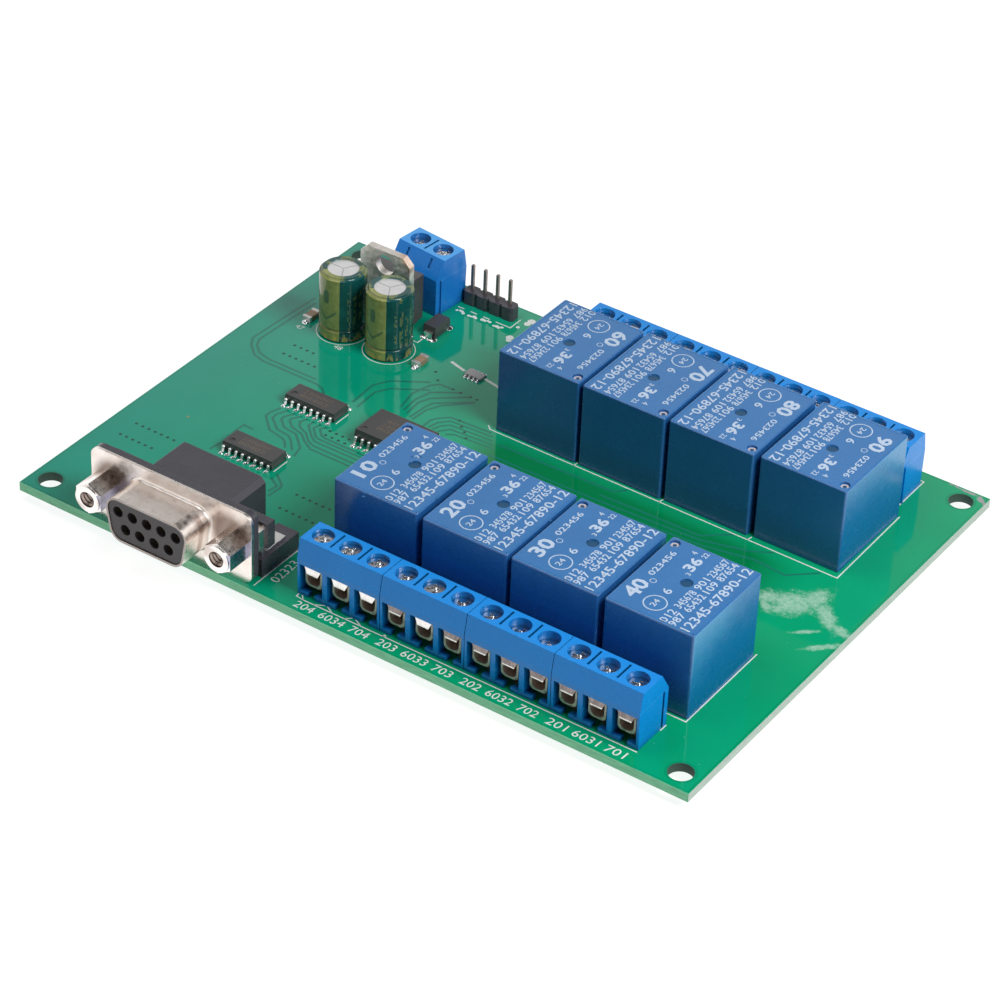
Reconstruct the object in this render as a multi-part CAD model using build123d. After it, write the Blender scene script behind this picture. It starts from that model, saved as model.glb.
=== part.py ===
from build123d import *
from math import hypot, radians, tan
import os

# Relay module board: a circuit board that carries eight sealed cube relays, the screw terminals
# that they switch, and the logic, supply and serial port that drive them.
# Origin: the centre of the four mounting holes, on the board's underside. +X runs along the long
# edge, +Y along the short edge to the side away from the serial port, and +Z up. Millimetres.

# Board
board_length = 124.0
board_width = 89.4
board_thickness = 1.6
mounting_edge_x = 3.45
mounting_edge_y = 3.4
mounting_hole_d = 4.0

# Fits and joints of the leaded parts
lead_clearance = 0.1
lead_stand_out = 1.8
part_clearance = 0.08
cut_margin = 1.0

# Relays: two rows of four, the back row turned round
relay_width = 15.35
relay_length = 18.9
relay_height = 15.3
relay_standoff = 0.05
relay_gap = 0.85
relay_corner_r = 0.4
relay_edge_r = 0.25
relay_base_thickness = 1.6
relay_wall = 0.8
relay_vent_d = 1.7
relay_vent_depth = 0.4
relay_vent_side_inset = 1.2
relay_vent_end_inset = 1.5
relay_dimple_d = 2.0
relay_dimple_depth = 0.2
relay_dimple_shift = 0.8
relay_foot_d = 1.6
relay_pin_width = 1.0
relay_pin_thickness = 0.5
relay_pin_anchor = 1.0
relay_pin_side = 6.0
relay_contact_end_inset = 2.35
relay_coil_end_inset = 4.35
relay_row_x = -3.4
relay_front_clear = 2.5
relay_back_clear = 2.2
# How each relay sits on its pins, front row then back row, left to right: shift x, shift y, turn
relay_seats = [
    [(0.0, 0.07, 0.33), (0.2, -0.1, 0.32), (0.0, -0.08, 0.32), (0.1, 0.15, 0.44)],
    [(0.0, -0.15, -0.26), (-0.2, -0.2, -0.18), (-0.4, 0.0, -0.05), (-0.3, 0.35, -0.19)],
]

# Screw terminal blocks
terminal_pitch = 5.08
terminal_poles = 3
terminal_blocks = 4
terminal_block_gap = 0.1
terminal_depth = 7.45
terminal_height = 10.2
terminal_break_height = 6.7
terminal_lean = 0.2
terminal_brow_setback = 0.45
terminal_back_setback = 2.0
terminal_back_height = 7.0
terminal_wall = 0.88
terminal_entry_height = 5.8
terminal_entry_depth = 5.65
terminal_well_d = 3.5
terminal_well_y = 2.95
terminal_slit_width = 0.35
terminal_slit_depth = 1.4
terminal_slit_start = 1.25
terminal_slit_end = 4.95
terminal_foot_reach = 1.5
terminal_foot_depth = 1.05
terminal_foot_height = 0.8
terminal_foot_r = 0.5
terminal_key_y = 6.25
terminal_key_width = 0.5
terminal_key_depth = 0.35
terminal_key_height = 6.8
terminal_notch_width = 0.45
terminal_notch_depth = 0.3
terminal_notch_low = 8.1
terminal_notch_high = 9.7
front_row_x = -10.2
front_row_edge = 3.65
back_row_x = -10.1
back_row_edge = 3.35

# The clamp, leaf and screw in each pole
cage_width = 3.1
cage_wall = 0.35
cage_foot = 1.85
cage_top = 5.2
cage_front = 0.6
cage_depth = 4.6
cage_corner_r = 0.9
cage_bore_r = 1.0
cage_pin_width = 1.0
cage_pin_thickness = 0.8
leaf_thickness = 0.2
leaf_fold_y = 0.15
leaf_fold_height = 4.25
leaf_fold_width = 1.95
leaf_tip_y = 0.3
leaf_tip_height = 5.6
leaf_tip_width = 3.2
leaf_tongue_width = 1.7
screw_head_d = 3.3
screw_head_height = 1.2
screw_shank_d = 2.2
screw_length = 5.0
screw_recess_width = 0.5
screw_recess_depth = 0.6
screw_recess_length = 2.2
screw_pit_d = 0.9
screw_burr_d = 1.3
screw_burr_height = 0.08
screw_bottom_lift = 0.05
# How far down its well each screw is turned, block by block
front_screw_depths = [[0.65, 0.65, 0.7], [1.0, 0.55, 1.1], [1.1, 1.5, 1.55], [1.0, 1.15, 1.2]]
back_screw_depths = [[0.75, 0.7, 0.9], [0.65, 0.95, 0.75], [1.05, 0.85, 0.7], [0.9, 0.65, 1.0]]
power_screw_depths = [0.8, 1.05]
screw_first_turn = 20.0
screw_turn_step = 47.0

# Power terminal, wires to the back
power_terminal_poles = 2
power_terminal_corner_x = -36.95
power_terminal_edge = 3.8
power_terminal_turn = -6.4

# Serial port: a nine-way right-angle D-sub socket
port_x = -32.35
port_edge = 0.9
port_height = 12.7
port_axis_height = 6.4
port_corner_r = 1.6
port_flange_thickness = 0.5
port_shell_length = 6.0
port_shell_width = 16.4
port_shell_height = 8.0
port_shell_wall = 0.4
port_shell_lean = 10.0
port_shell_corner_r = 2.4
port_shell_root_r = 0.5
port_insert_gap = 0.12
port_insert_recess = 0.2
port_bezel_thickness = 2.0
port_bezel_chamfer = 0.8
port_box_width = 16.7
port_box_back = 10.3
port_box_height = 9.6
port_box_edge = 0.9
port_foot_width = 4.0
port_foot_height = 3.2
port_foot_depth = 9.2
port_socket_pitch = 2.77
port_row_pitch = 2.84
port_socket_d = 1.7
port_socket_bore_d = 1.1
port_socket_bore_depth = 4.0
port_socket_recess = 1.2
port_tail = 0.6
port_tail_y = 5.0
port_long_row_count = 5
port_short_row_count = 4
jack_spacing = 24.99
port_side_reach = 3.005
flange_hole_d = 3.2
jack_hex_af = 4.8
jack_length = 4.8
jack_ring_d = 4.6
jack_ring_height = 0.35
jack_bore_d = 2.6
jack_bore_depth = 4.0
jack_shank_d = 2.8
jack_shank_length = 5.2
nut_boss_reach = 2.9
nut_boss_depth = 1.8
nut_boss_low = 4.4
nut_boss_high = 8.9
nut_width = 5.0
nut_height = 4.3
nut_thickness = 1.6
nut_corner = 0.4
lock_width = 2.0
lock_thickness = 0.4
lock_length = 5.9
lock_front_gap = 0.9
lock_lip = 0.9
lock_leg_width = 1.6
lock_leg_thickness = 0.8
lock_side_inset = 0.6

# Supply: two capacitors and an upright regulator
capacitor_d = 8.0
capacitor_height = 12.4
capacitor_seats = [(-47.65, 20.75), (-38.2, 20.8)]
sleeve_wall = 0.15
sleeve_lap = 0.7
can_edge_r = 0.5
can_groove_height = 2.2
can_groove_r = 0.35
can_foot_gap = 0.3
seal_thickness = 1.2
capacitor_lead_d = 0.6
capacitor_lead_pitch = 3.5
regulator_x = -43.8
regulator_y = 27.1
regulator_width = 10.0
tab_thickness = 1.3
tab_height = 13.8
tab_hole_d = 3.7
tab_hole_drop = 2.6
tab_corner = 1.4
regulator_body_depth = 3.1
regulator_body_height = 8.9
regulator_lift = 0.4
regulator_draft = 4.0
regulator_lead_pitch = 2.54
regulator_lead_width = 0.85
regulator_lead_thickness = 0.5
regulator_lead_inset = 1.2

# Small surface parts
lead_pitch = 1.27
gull_width = 0.42
gull_thickness = 0.2
gull_foot = 0.75
narrow_body = (9.9, 3.9, 1.6)
narrow_span = 6.2
wide_body = (11.55, 7.4, 2.35)
wide_span = 10.3
ic_lift = 0.12
ic_draft = 7.0
ic_notch_d = 1.1
ic_notch_depth = 0.15
lower_ic_seat = (-37.4, -16.5)
upper_ic_seat = (-37.5, 0.0)
wide_ic_seat = (-21.3, -0.2)
narrow_lead_count = 8
wide_lead_count = 9
diode_seat = (-34.95, 29.9)
diode_body = (2.6, 4.3, 2.2)
diode_tab_width = 1.5
diode_tab_thickness = 0.2
diode_tab_reach = 0.45
chip_seats = [(-31.65, 20.7), (-54.0, 20.6)]
chip_size = (1.6, 3.0, 1.0)
chip_cap_length = 0.5
chip_cap_proud = 0.05
network_seat = (-22.3, 23.0)
network_size = (3.2, 1.5, 0.55)
network_ways = 4
network_pitch = 0.8
network_pad_width = 0.45
network_pad_reach = 0.3
network_pad_height = 0.5

# Four-way pin header
header_ways = 4
header_pitch = 2.54
header_x = -35.5
header_edge = 3.65
header_base_depth = 2.3
header_base_height = 2.54
header_base_corner = 0.45
header_pin = 0.5
header_pin_tip = 7.6
header_pin_taper = 0.35

# Worked out from the sizes above
top = board_thickness
edge_y = board_width / 2
underside_tip = -lead_stand_out
mounting_spacing_x = board_length - 2 * mounting_edge_x
mounting_spacing_y = board_width - 2 * mounting_edge_y
front_row_y = -edge_y + front_row_edge
back_row_y = edge_y - back_row_edge
relay_pitch = relay_width + relay_gap
relay_front_y = front_row_y + terminal_depth + relay_front_clear + relay_length / 2
relay_back_y = back_row_y - terminal_depth - relay_back_clear - relay_length / 2
block_length = terminal_poles * terminal_pitch
block_pitch = block_length + terminal_block_gap
port_width = jack_spacing + 2 * port_side_reach


def cuboid(x_span, y_span, z_span):
    """A straight block between two coordinates on each axis."""
    spans = (x_span, y_span, z_span)
    sizes = [span[1] - span[0] for span in spans]
    middles = [(span[1] + span[0]) / 2 for span in spans]
    return Pos(*middles) * Box(*sizes)


def around(centre, size):
    return (centre - size / 2, centre + size / 2)


def disc(radius, low, high):
    return Pos(0, 0, (low + high) / 2) * Cylinder(radius, high - low)


def rounded_block(width, length, height, corner_r, bottom):
    return Pos(0, 0, bottom) * extrude(RectangleRounded(width, length, corner_r), height)


def side_profile(points, x_span):
    """A solid with the (y, z) outline in points, extruded over a span of x."""
    plane = Plane(origin=(x_span[0], 0, 0), x_dir=(0, 1, 0), z_dir=(1, 0, 0))
    outline = Polygon(*points, align=None)
    return extrude(plane * outline, x_span[1] - x_span[0], dir=(1, 0, 0))


def group(solids):
    return Compound(children=list(solids))


def seat(x, y, turn=0.0):
    return Pos(x, y, top) * Rot(0, 0, turn)


def point_of(place, x, y):
    """Where a component's own point (x, y) comes on the board."""
    spot = (place * Pos(x, y, 0)).position
    return (spot.X, spot.Y)


# Relays
relay_pin_seats = [
    (-relay_pin_side, -relay_length / 2 + relay_contact_end_inset),
    (relay_pin_side, -relay_length / 2 + relay_contact_end_inset),
    (0.0, relay_length / 2 - relay_contact_end_inset),
    (-relay_pin_side, relay_length / 2 - relay_coil_end_inset),
    (relay_pin_side, relay_length / 2 - relay_coil_end_inset),
]


def relay_places():
    """The eight seats, front row first, each from left to right."""
    places = []
    for row, (row_y, half_turn) in enumerate([(relay_front_y, 0.0), (relay_back_y, 180.0)]):
        for column, (shift_x, shift_y, turn) in enumerate(relay_seats[row]):
            x = relay_row_x + column * relay_pitch + shift_x
            places.append(seat(x, row_y + shift_y, half_turn + turn))
    return places


def relay_case():
    """The moulded cover, sealed with all the works in it, with a recess below for its base."""
    case = rounded_block(relay_width, relay_length, relay_height - relay_standoff,
                         relay_corner_r, relay_standoff)
    rim = case.faces().sort_by(Axis.Z)[-1].edges()
    case = fillet(rim, relay_edge_r)
    recess = rounded_block(relay_width - 2 * relay_wall, relay_length - 2 * relay_wall,
                           relay_base_thickness, relay_corner_r, relay_standoff)
    vent_x = -relay_width / 2 + relay_vent_side_inset
    vent_y = relay_length / 2 - relay_vent_end_inset
    vent = Pos(vent_x, vent_y, relay_height) * Cylinder(relay_vent_d / 2, 2 * relay_vent_depth)
    dimple = Cylinder(relay_dimple_d / 2, 2 * relay_dimple_depth)
    return case - recess - vent - Pos(0, relay_dimple_shift, relay_height) * dimple


def relay_pin_blank(clearance, low, high):
    width = relay_pin_width + 2 * clearance
    thickness = relay_pin_thickness + 2 * clearance
    return [cuboid(around(x, width), around(y, thickness), (low, high)) for x, y in relay_pin_seats]


def relay_base():
    """The sealed plate under the works, on four feet, with a slot for each pin."""
    fit = relay_wall + part_clearance
    plate = rounded_block(relay_width - 2 * fit, relay_length - 2 * fit,
                          relay_base_thickness - part_clearance, relay_corner_r - part_clearance,
                          relay_standoff)
    foot = Pos(0, 0, relay_standoff / 2) * Cylinder(relay_foot_d / 2, relay_standoff)
    inset = relay_wall + relay_foot_d
    feet = GridLocations(relay_width - 2 * inset, relay_length - 2 * inset, 2, 2)
    for place in feet:
        plate += place * foot
    slots = relay_pin_blank(part_clearance, 0, relay_standoff + relay_pin_anchor)
    return plate - slots


def relay_pins():
    low = underside_tip - top
    pins = relay_pin_blank(0, low, relay_standoff + relay_pin_anchor)
    return [place * pin for place in relay_places() for pin in pins]


# Screw terminals. A block's own frame: x along the row from the block's left end, y from the wire
# face into the block, z up from the board.
def terminal_outline():
    depth, height = terminal_depth, terminal_height
    return [
        (0, 0),
        (-terminal_lean, terminal_break_height),
        (terminal_brow_setback, height),
        (depth - terminal_back_setback, height),
        (depth, terminal_back_height),
        (depth, 0),
    ]


def pole_x(pole):
    return (pole + 0.5) * terminal_pitch


def terminal_entry(pole):
    """The opening that takes the wire and the clamp, open to the board, with two feet at its mouth."""
    half = (terminal_pitch - terminal_wall) / 2
    x = pole_x(pole)
    mouth = -2 * terminal_lean
    entry = cuboid((x - half, x + half), (mouth, terminal_entry_depth), (0, terminal_entry_height))
    foot_y = (mouth, terminal_foot_depth)
    foot_z = (0, terminal_foot_height)
    square_foot = cuboid((x - half, x - half + terminal_foot_reach), foot_y, foot_z)
    round_foot = cuboid((x + half - terminal_foot_reach, x + half), foot_y, foot_z)
    ends = round_foot.edges().filter_by(Axis.Z).group_by(Axis.X)[0]
    round_foot = fillet(ends, terminal_foot_r)
    return entry - square_foot - round_foot


def terminal_notch(pole):
    """The short upright notch in the sloping back behind each well."""
    slope = terminal_back_setback / (terminal_height - terminal_back_height)
    inner = []
    for z in (terminal_notch_low, terminal_notch_high):
        inner.append((terminal_depth - slope * (z - terminal_back_height) - terminal_notch_depth, z))
    outer = [(y + cut_margin, z) for y, z in reversed(inner)]
    return side_profile(inner + outer, around(pole_x(pole), terminal_notch_width))


def terminal_housing(poles):
    length = poles * terminal_pitch
    housing = side_profile(terminal_outline(), (0, length))
    key_z = (0, terminal_key_height)
    for pole in range(poles):
        well_depth = terminal_height - terminal_entry_height
        well = Cylinder(terminal_well_d / 2, 2 * well_depth)
        housing -= Pos(pole_x(pole), terminal_well_y, terminal_height) * well
        housing -= terminal_entry(pole)
        housing -= terminal_notch(pole)
    for joint in range(1, poles):
        slit_x = around(joint * terminal_pitch, terminal_slit_width)
        slit_z = (terminal_height - terminal_slit_depth, terminal_height + cut_margin)
        housing -= cuboid(slit_x, (terminal_slit_start, terminal_slit_end), slit_z)
    groove_y = around(terminal_key_y, terminal_key_width)
    housing -= cuboid((length - terminal_key_depth, length + cut_margin), groove_y, key_z)
    rib_y = around(terminal_key_y, terminal_key_width - 2 * part_clearance)
    rib_reach = terminal_key_depth - part_clearance
    housing += cuboid((-rib_reach, 0), rib_y, key_z)
    return housing


def terminal_cage(pole):
    """The wire clamp: a round-bottomed frame that the screw is threaded into, with its solder pin."""
    x = pole_x(pole)
    height = cage_top - cage_foot
    plane = Plane(origin=(x, cage_front, cage_foot), x_dir=(1, 0, 0), z_dir=(0, -1, 0))
    frame = Pos(0, height / 2) * Rectangle(cage_width, height)
    frame = fillet(frame.vertices().group_by(Axis.Y)[0], cage_corner_r)
    inner_width = cage_width - 2 * cage_wall
    inner_height = height - 2 * cage_wall
    bore = Pos(0, height / 2) * Rectangle(inner_width, inner_height)
    bore = fillet(bore.vertices().group_by(Axis.Y)[0], cage_bore_r)
    cage = extrude(plane * (frame - bore), -cage_depth)
    thread_d = screw_shank_d + 2 * part_clearance
    cage -= Pos(x, terminal_well_y, cage_top) * Cylinder(thread_d / 2, 2 * cage_wall + part_clearance)
    low = underside_tip - top
    pin_x = around(x, cage_pin_width)
    pin_y = around(terminal_well_y, cage_pin_thickness)
    return cage + cuboid(pin_x, pin_y, (low, cage_foot + cage_wall / 2))


def terminal_leaf(pole, depth):
    """The strip that keeps the screw off the wire: a flared flap, folded back to a tongue under it."""
    x = pole_x(pole)
    seat_z = terminal_height - depth - screw_length - screw_bottom_lift
    reach = screw_shank_d / 2 + part_clearance
    back = terminal_well_y + reach
    near = terminal_well_y - reach
    t = leaf_thickness
    tongue = [
        (leaf_fold_y, leaf_fold_height),
        (near, seat_z - t),
        (back, seat_z - t),
        (back, seat_z),
        (near, seat_z),
        (leaf_fold_y, leaf_fold_height + t),
    ]
    flap = [
        (leaf_fold_y, leaf_fold_height),
        (leaf_fold_y + t, leaf_fold_height),
        (leaf_tip_y + t, leaf_tip_height),
        (leaf_tip_y, leaf_tip_height),
    ]
    fold = leaf_fold_width / 2
    tip = leaf_tip_width / 2
    flare = [
        (-fold, leaf_fold_height),
        (fold, leaf_fold_height),
        (tip, leaf_tip_height),
        (-tip, leaf_tip_height),
    ]
    plane = Plane(origin=(x, leaf_fold_y, 0), x_dir=(1, 0, 0), z_dir=(0, -1, 0))
    front = extrude(plane * Polygon(*flare, align=None), -(leaf_tip_y + t))
    flap = side_profile(flap, around(x, leaf_tip_width)) & front
    return flap + side_profile(tongue, around(x, leaf_tongue_width))


def terminal_screw(pole, depth, turn):
    """A cheese-head screw with a cross recess, and the burr that the driver raised round its pit."""
    head_top = terminal_height - depth
    x, y = pole_x(pole), terminal_well_y
    head = disc(screw_head_d / 2, -screw_head_height, 0)
    shank = disc(screw_shank_d / 2, -screw_length, -screw_head_height)
    recess = Box(screw_recess_length, screw_recess_width, 2 * screw_recess_depth)
    recess += Box(screw_recess_width, screw_recess_length, 2 * screw_recess_depth)
    burr = disc(screw_burr_d / 2, -screw_recess_depth, screw_burr_height)
    pit = disc(screw_pit_d / 2, -screw_recess_depth, screw_burr_height + cut_margin)
    screw = head + shank - recess + burr - pit
    return Pos(x, y, head_top) * Rot(0, 0, turn) * screw


def terminal_places():
    """Seat, poles and screw depths of each block: the front row, the back row, the power block."""
    places = []
    for block in range(terminal_blocks):
        x = front_row_x + block * block_pitch
        places.append((seat(x, front_row_y), terminal_poles, front_screw_depths[block]))
    for block in range(terminal_blocks):
        x = back_row_x + block * block_pitch + block_length
        places.append((seat(x, back_row_y, 180), terminal_poles, back_screw_depths[block]))
    power_place = seat(power_terminal_corner_x, edge_y - power_terminal_edge, 180 + power_terminal_turn)
    places.append((power_place, power_terminal_poles, power_screw_depths))
    return places


def terminal_details():
    """The screws, cages and leaves of every pole, on the board."""
    screws, cages, leaves = [], [], []
    turn = screw_first_turn
    for place, poles, depths in terminal_places():
        for pole in range(poles):
            screws.append(place * terminal_screw(pole, depths[pole], turn))
            cages.append(place * terminal_cage(pole))
            leaves.append(place * terminal_leaf(pole, depths[pole]))
            turn += screw_turn_step
    return screws, cages, leaves


# Serial port. Its own frame: x across, y back from the flange's front face, z up from the board.
port_place = seat(port_x, -edge_y + port_edge)
port_back = port_flange_thickness
bezel_back = port_back + port_bezel_thickness
jack_xs = (-jack_spacing / 2, jack_spacing / 2)


def port_plane(y):
    """A sketch plane across the port at depth y, facing the plug."""
    return Plane(origin=(0, y, port_axis_height), x_dir=(1, 0, 0), z_dir=(0, -1, 0))


def d_outline(width, height, corner_r):
    """The D of the port, wide side up: width is that of the wide side."""
    lean = height * tan(radians(port_shell_lean))
    half_w, half_h = width / 2, height / 2
    corners = [(lean - half_w, -half_h), (half_w - lean, -half_h), (half_w, half_h), (-half_w, half_h)]
    outline = Polygon(*corners, align=None)
    return fillet(outline.vertices(), corner_r)


def flange_outline():
    low = -port_axis_height
    high = port_height - port_axis_height
    plate = Pos(0, (low + high) / 2) * Rectangle(port_width, port_height)
    return fillet(plate.vertices(), port_corner_r)


def port_shell():
    """The drawn metal front: a flange with the D-shaped skirt that the plug slides over."""
    flange = extrude(port_plane(0) * flange_outline(), -port_flange_thickness)
    outer = d_outline(port_shell_width, port_shell_height, port_shell_corner_r)
    wall = port_shell_wall
    inner = d_outline(port_shell_width - 2 * wall, port_shell_height - 2 * wall,
                      port_shell_corner_r - wall)
    shell = flange + extrude(port_plane(0) * outer, port_shell_length)
    reach_z = port_shell_height / 2 + part_clearance
    on_front = shell.edges().filter_by_position(Axis.Y, -part_clearance, part_clearance)
    low, high = port_axis_height - reach_z, port_axis_height + reach_z
    root = on_front.filter_by_position(Axis.Z, low, high)
    reach_x = port_shell_width / 2 + part_clearance
    root = root.filter_by_position(Axis.X, -reach_x, reach_x)
    shell = fillet(root, port_shell_root_r)
    bore_length = port_flange_thickness + port_shell_length + cut_margin
    shell -= extrude(port_plane(port_flange_thickness) * inner, bore_length)
    for x in jack_xs:
        through = (-cut_margin, port_flange_thickness + cut_margin)
        shell -= tube(x, port_axis_height, through, flange_hole_d)
    return shell


def socket_spots():
    """(x, z, depth back to the tail) of each contact: five on the wide side, four below."""
    spots = []
    near_tail = bezel_back + port_tail_y
    rows = [
        (port_long_row_count, port_axis_height + port_row_pitch / 2, near_tail + port_row_pitch),
        (port_short_row_count, port_axis_height - port_row_pitch / 2, near_tail),
    ]
    for count, z, tail_y in rows:
        for way in range(count):
            spots.append(((way - (count - 1) / 2) * port_socket_pitch, z, tail_y))
    return spots


def tube(x, z, y_span, diameter):
    length = y_span[1] - y_span[0]
    middle = (y_span[0] + y_span[1]) / 2
    return Pos(x, middle, z) * Cylinder(diameter / 2, length, rotation=(90, 0, 0))


def tail_path(x, z, tail_y, size, low, front):
    """A contact's tail: straight back from the socket, then straight down."""
    half = size / 2
    run = cuboid(around(x, size), (front, tail_y + half), around(z, size))
    drop = cuboid(around(x, size), (tail_y - half, tail_y + half), (low, z + half))
    return run + drop


insert_front = port_insert_recess - port_shell_length
socket_front = insert_front + port_socket_recess
socket_back = port_back


def port_insert():
    """The front insulator that fills the skirt, with nine holes that lead to the sockets."""
    inset = port_shell_wall + port_insert_gap
    outline = d_outline(port_shell_width - 2 * inset, port_shell_height - 2 * inset,
                        port_shell_corner_r - inset)
    insert = extrude(port_plane(port_back) * outline, port_back - insert_front)
    through = (insert_front - cut_margin, port_back + cut_margin)
    for x, z, _ in socket_spots():
        insert -= tube(x, z, through, port_socket_d + 2 * part_clearance)
    return insert


def port_contacts():
    contacts = []
    low = underside_tip - top
    for x, z, tail_y in socket_spots():
        barrel = tube(x, z, (socket_front, socket_back), port_socket_d)
        bore_end = socket_front + port_socket_bore_depth
        barrel -= tube(x, z, (socket_front - cut_margin, bore_end), port_socket_bore_d)
        contacts.append(barrel + tail_path(x, z, tail_y, port_tail, low, socket_back - port_tail))
    return contacts


def port_housing():
    """The rear insulator: bezel behind the flange, box over the tails, nut bosses and two feet."""
    bezel = extrude(port_plane(port_back) * flange_outline(), -port_bezel_thickness)
    rear = bezel.faces().sort_by(Axis.Y)[-1].edges().sort_by(Axis.Z)[-1]
    bezel = chamfer(rear, port_bezel_chamfer)
    box_y = (bezel_back, bezel_back + port_box_back)
    box = cuboid(around(0, port_box_width), box_y, (0, port_box_height))
    long_edges = box.edges().filter_by(Axis.Y).group_by(Axis.Z)[-1]
    box = chamfer(long_edges, port_box_edge)
    housing = bezel + box
    foot_z = (0, port_foot_height)
    for side, jack_x in zip((-1, 1), jack_xs):
        outer = side * (port_width / 2 + part_clearance)
        foot_x = sorted((outer, outer - side * port_foot_width))
        housing += cuboid(foot_x, (bezel_back, bezel_back + port_foot_depth), foot_z)
        boss_x = sorted((side * port_box_width / 2, jack_x + side * nut_boss_reach))
        boss_y = (bezel_back + nut_thickness, bezel_back + nut_thickness + nut_boss_depth)
        housing += cuboid(boss_x, boss_y, (nut_boss_low, nut_boss_high))
        housing -= tube(jack_x, port_axis_height, (0, boss_y[1] + cut_margin), flange_hole_d)
        housing -= lock_leg(side, lead_clearance)
    channel = port_tail + 2 * part_clearance
    for x, z, tail_y in socket_spots():
        housing -= tail_path(x, z, tail_y, channel, -cut_margin, 0)
    return housing


def jack_screw(x):
    """A hexagonal standoff with a threaded mouth, screwed through the flange into its nut."""
    hexagon = RegularPolygon(jack_hex_af / 2, 6, major_radius=False, rotation=30)
    body = extrude(port_plane(0) * (Pos(x, 0) * hexagon), jack_length - jack_ring_height)
    front = -jack_length
    body += tube(x, port_axis_height, (front, 0), jack_ring_d)
    body += tube(x, port_axis_height, (-jack_ring_height, jack_shank_length), jack_shank_d)
    return body - tube(x, port_axis_height, (front - cut_margin, front + jack_bore_depth), jack_bore_d)


def jack_nut(x):
    """The square nut held between the bezel and its boss."""
    y_span = (bezel_back, bezel_back + nut_thickness)
    nut = cuboid(around(x, nut_width), y_span, around(port_axis_height, nut_height))
    nut = chamfer(nut.edges().filter_by(Axis.Y), nut_corner)
    through = (y_span[0] - cut_margin, y_span[1] + cut_margin)
    return nut - tube(x, port_axis_height, through, jack_shank_d + 2 * part_clearance)


lock_x = port_width / 2 - lock_side_inset - lock_width / 2
lock_y = bezel_back + lock_front_gap + lock_length / 2


def lock_leg(side, clearance):
    """The leg of a board lock, down through the foot and the board."""
    leg_x = around(side * lock_x, lock_leg_thickness + 2 * clearance)
    leg_y = around(lock_y, lock_leg_width + 2 * clearance)
    return cuboid(leg_x, leg_y, (underside_tip - top, port_foot_height))


def board_lock(side):
    """A bent strap on the foot, with a lip at the front and a leg that holds the port down."""
    x_span = around(side * lock_x, lock_width)
    front = lock_y - lock_length / 2
    low = port_foot_height
    strap = cuboid(x_span, (front, front + lock_length), (low, low + lock_thickness))
    lip = cuboid(x_span, (front, front + lock_thickness), (low, low + lock_lip))
    return strap + lip + lock_leg(side, 0)


# Supply parts
lead_xs = (-capacitor_lead_pitch / 2, capacitor_lead_pitch / 2)


def capacitor_profile(radius, high):
    """Half section of the can: rounded shoulder, and the rolled groove that grips the seal."""
    r = can_edge_r
    g = can_groove_r
    wall = Polyline((radius, high - r), (radius, can_groove_height + g))
    shoulder = RadiusArc((radius - r, high), (radius, high - r), -r)
    groove = ThreePointArc((radius, can_groove_height + g), (radius - g, can_groove_height),
                           (radius, can_groove_height - g))
    return [shoulder, wall, groove]


def capacitor_can():
    radius = capacitor_d / 2 - sleeve_wall
    high = capacitor_height - sleeve_wall
    low = can_foot_gap
    outline = capacitor_profile(radius, high)
    closing = Polyline((radius, can_groove_height - can_groove_r), (radius, low), (0, low), (0, high),
                       (radius - can_edge_r, high))
    section = make_face(Plane.XZ * (Curve() + outline + [closing]))
    can = revolve(section, Axis.Z)
    recess = Pos(0, 0, low) * Cylinder(radius - sleeve_wall, 2 * seal_thickness)
    return can - recess


def capacitor_sleeve():
    """The printed film: shrunk on the can, it follows the groove and laps over the top and bottom."""
    inner_r = capacitor_d / 2 - sleeve_wall
    high = capacitor_height - sleeve_wall
    outer = capacitor_profile(capacitor_d / 2, capacitor_height)
    inner = capacitor_profile(inner_r, high)
    lap_r = inner_r - can_edge_r - sleeve_lap
    low = can_foot_gap
    g = can_groove_r
    top_lap = Polyline((capacitor_d / 2 - can_edge_r, capacitor_height), (lap_r, capacitor_height),
                       (lap_r, high), (inner_r - can_edge_r, high))
    bottom_lap = Polyline((capacitor_d / 2, can_groove_height - g), (capacitor_d / 2, low),
                          (inner_r, low), (inner_r, can_groove_height - g))
    section = make_face(Plane.XZ * (Curve() + outer + inner + [top_lap, bottom_lap]))
    return revolve(section, Axis.Z)


def capacitor_seal():
    radius = capacitor_d / 2 - 2 * sleeve_wall - part_clearance
    seal = disc(radius, 0, can_foot_gap + seal_thickness - part_clearance)
    for x in lead_xs:
        seal -= Pos(x, 0, 0) * Cylinder(capacitor_lead_d / 2, 4 * seal_thickness)
    return seal


def capacitor_leads():
    low = underside_tip - top
    high = can_foot_gap + seal_thickness - part_clearance
    lead = disc(capacitor_lead_d / 2, low, high)
    return [seat(*place) * Pos(x, 0, 0) * lead for place in capacitor_seats for x in lead_xs]


regulator_place = seat(regulator_x, regulator_y)
regulator_lead_y = tab_thickness + regulator_lead_inset
regulator_lead_xs = [step * regulator_lead_pitch for step in (-1, 0, 1)]


def regulator_tab():
    """The tinned plate that carries heat away, with cut corners and a bolt hole."""
    plane = Plane(origin=(0, 0, 0), x_dir=(1, 0, 0), z_dir=(0, -1, 0))
    height = tab_height - regulator_lift
    plate = Pos(0, regulator_lift + height / 2) * Rectangle(regulator_width, height)
    plate = chamfer(plate.vertices().group_by(Axis.Y)[-1], tab_corner)
    plate -= Pos(0, tab_height - tab_hole_drop) * Circle(tab_hole_d / 2)
    return extrude(plane * plate, -tab_thickness)


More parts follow.
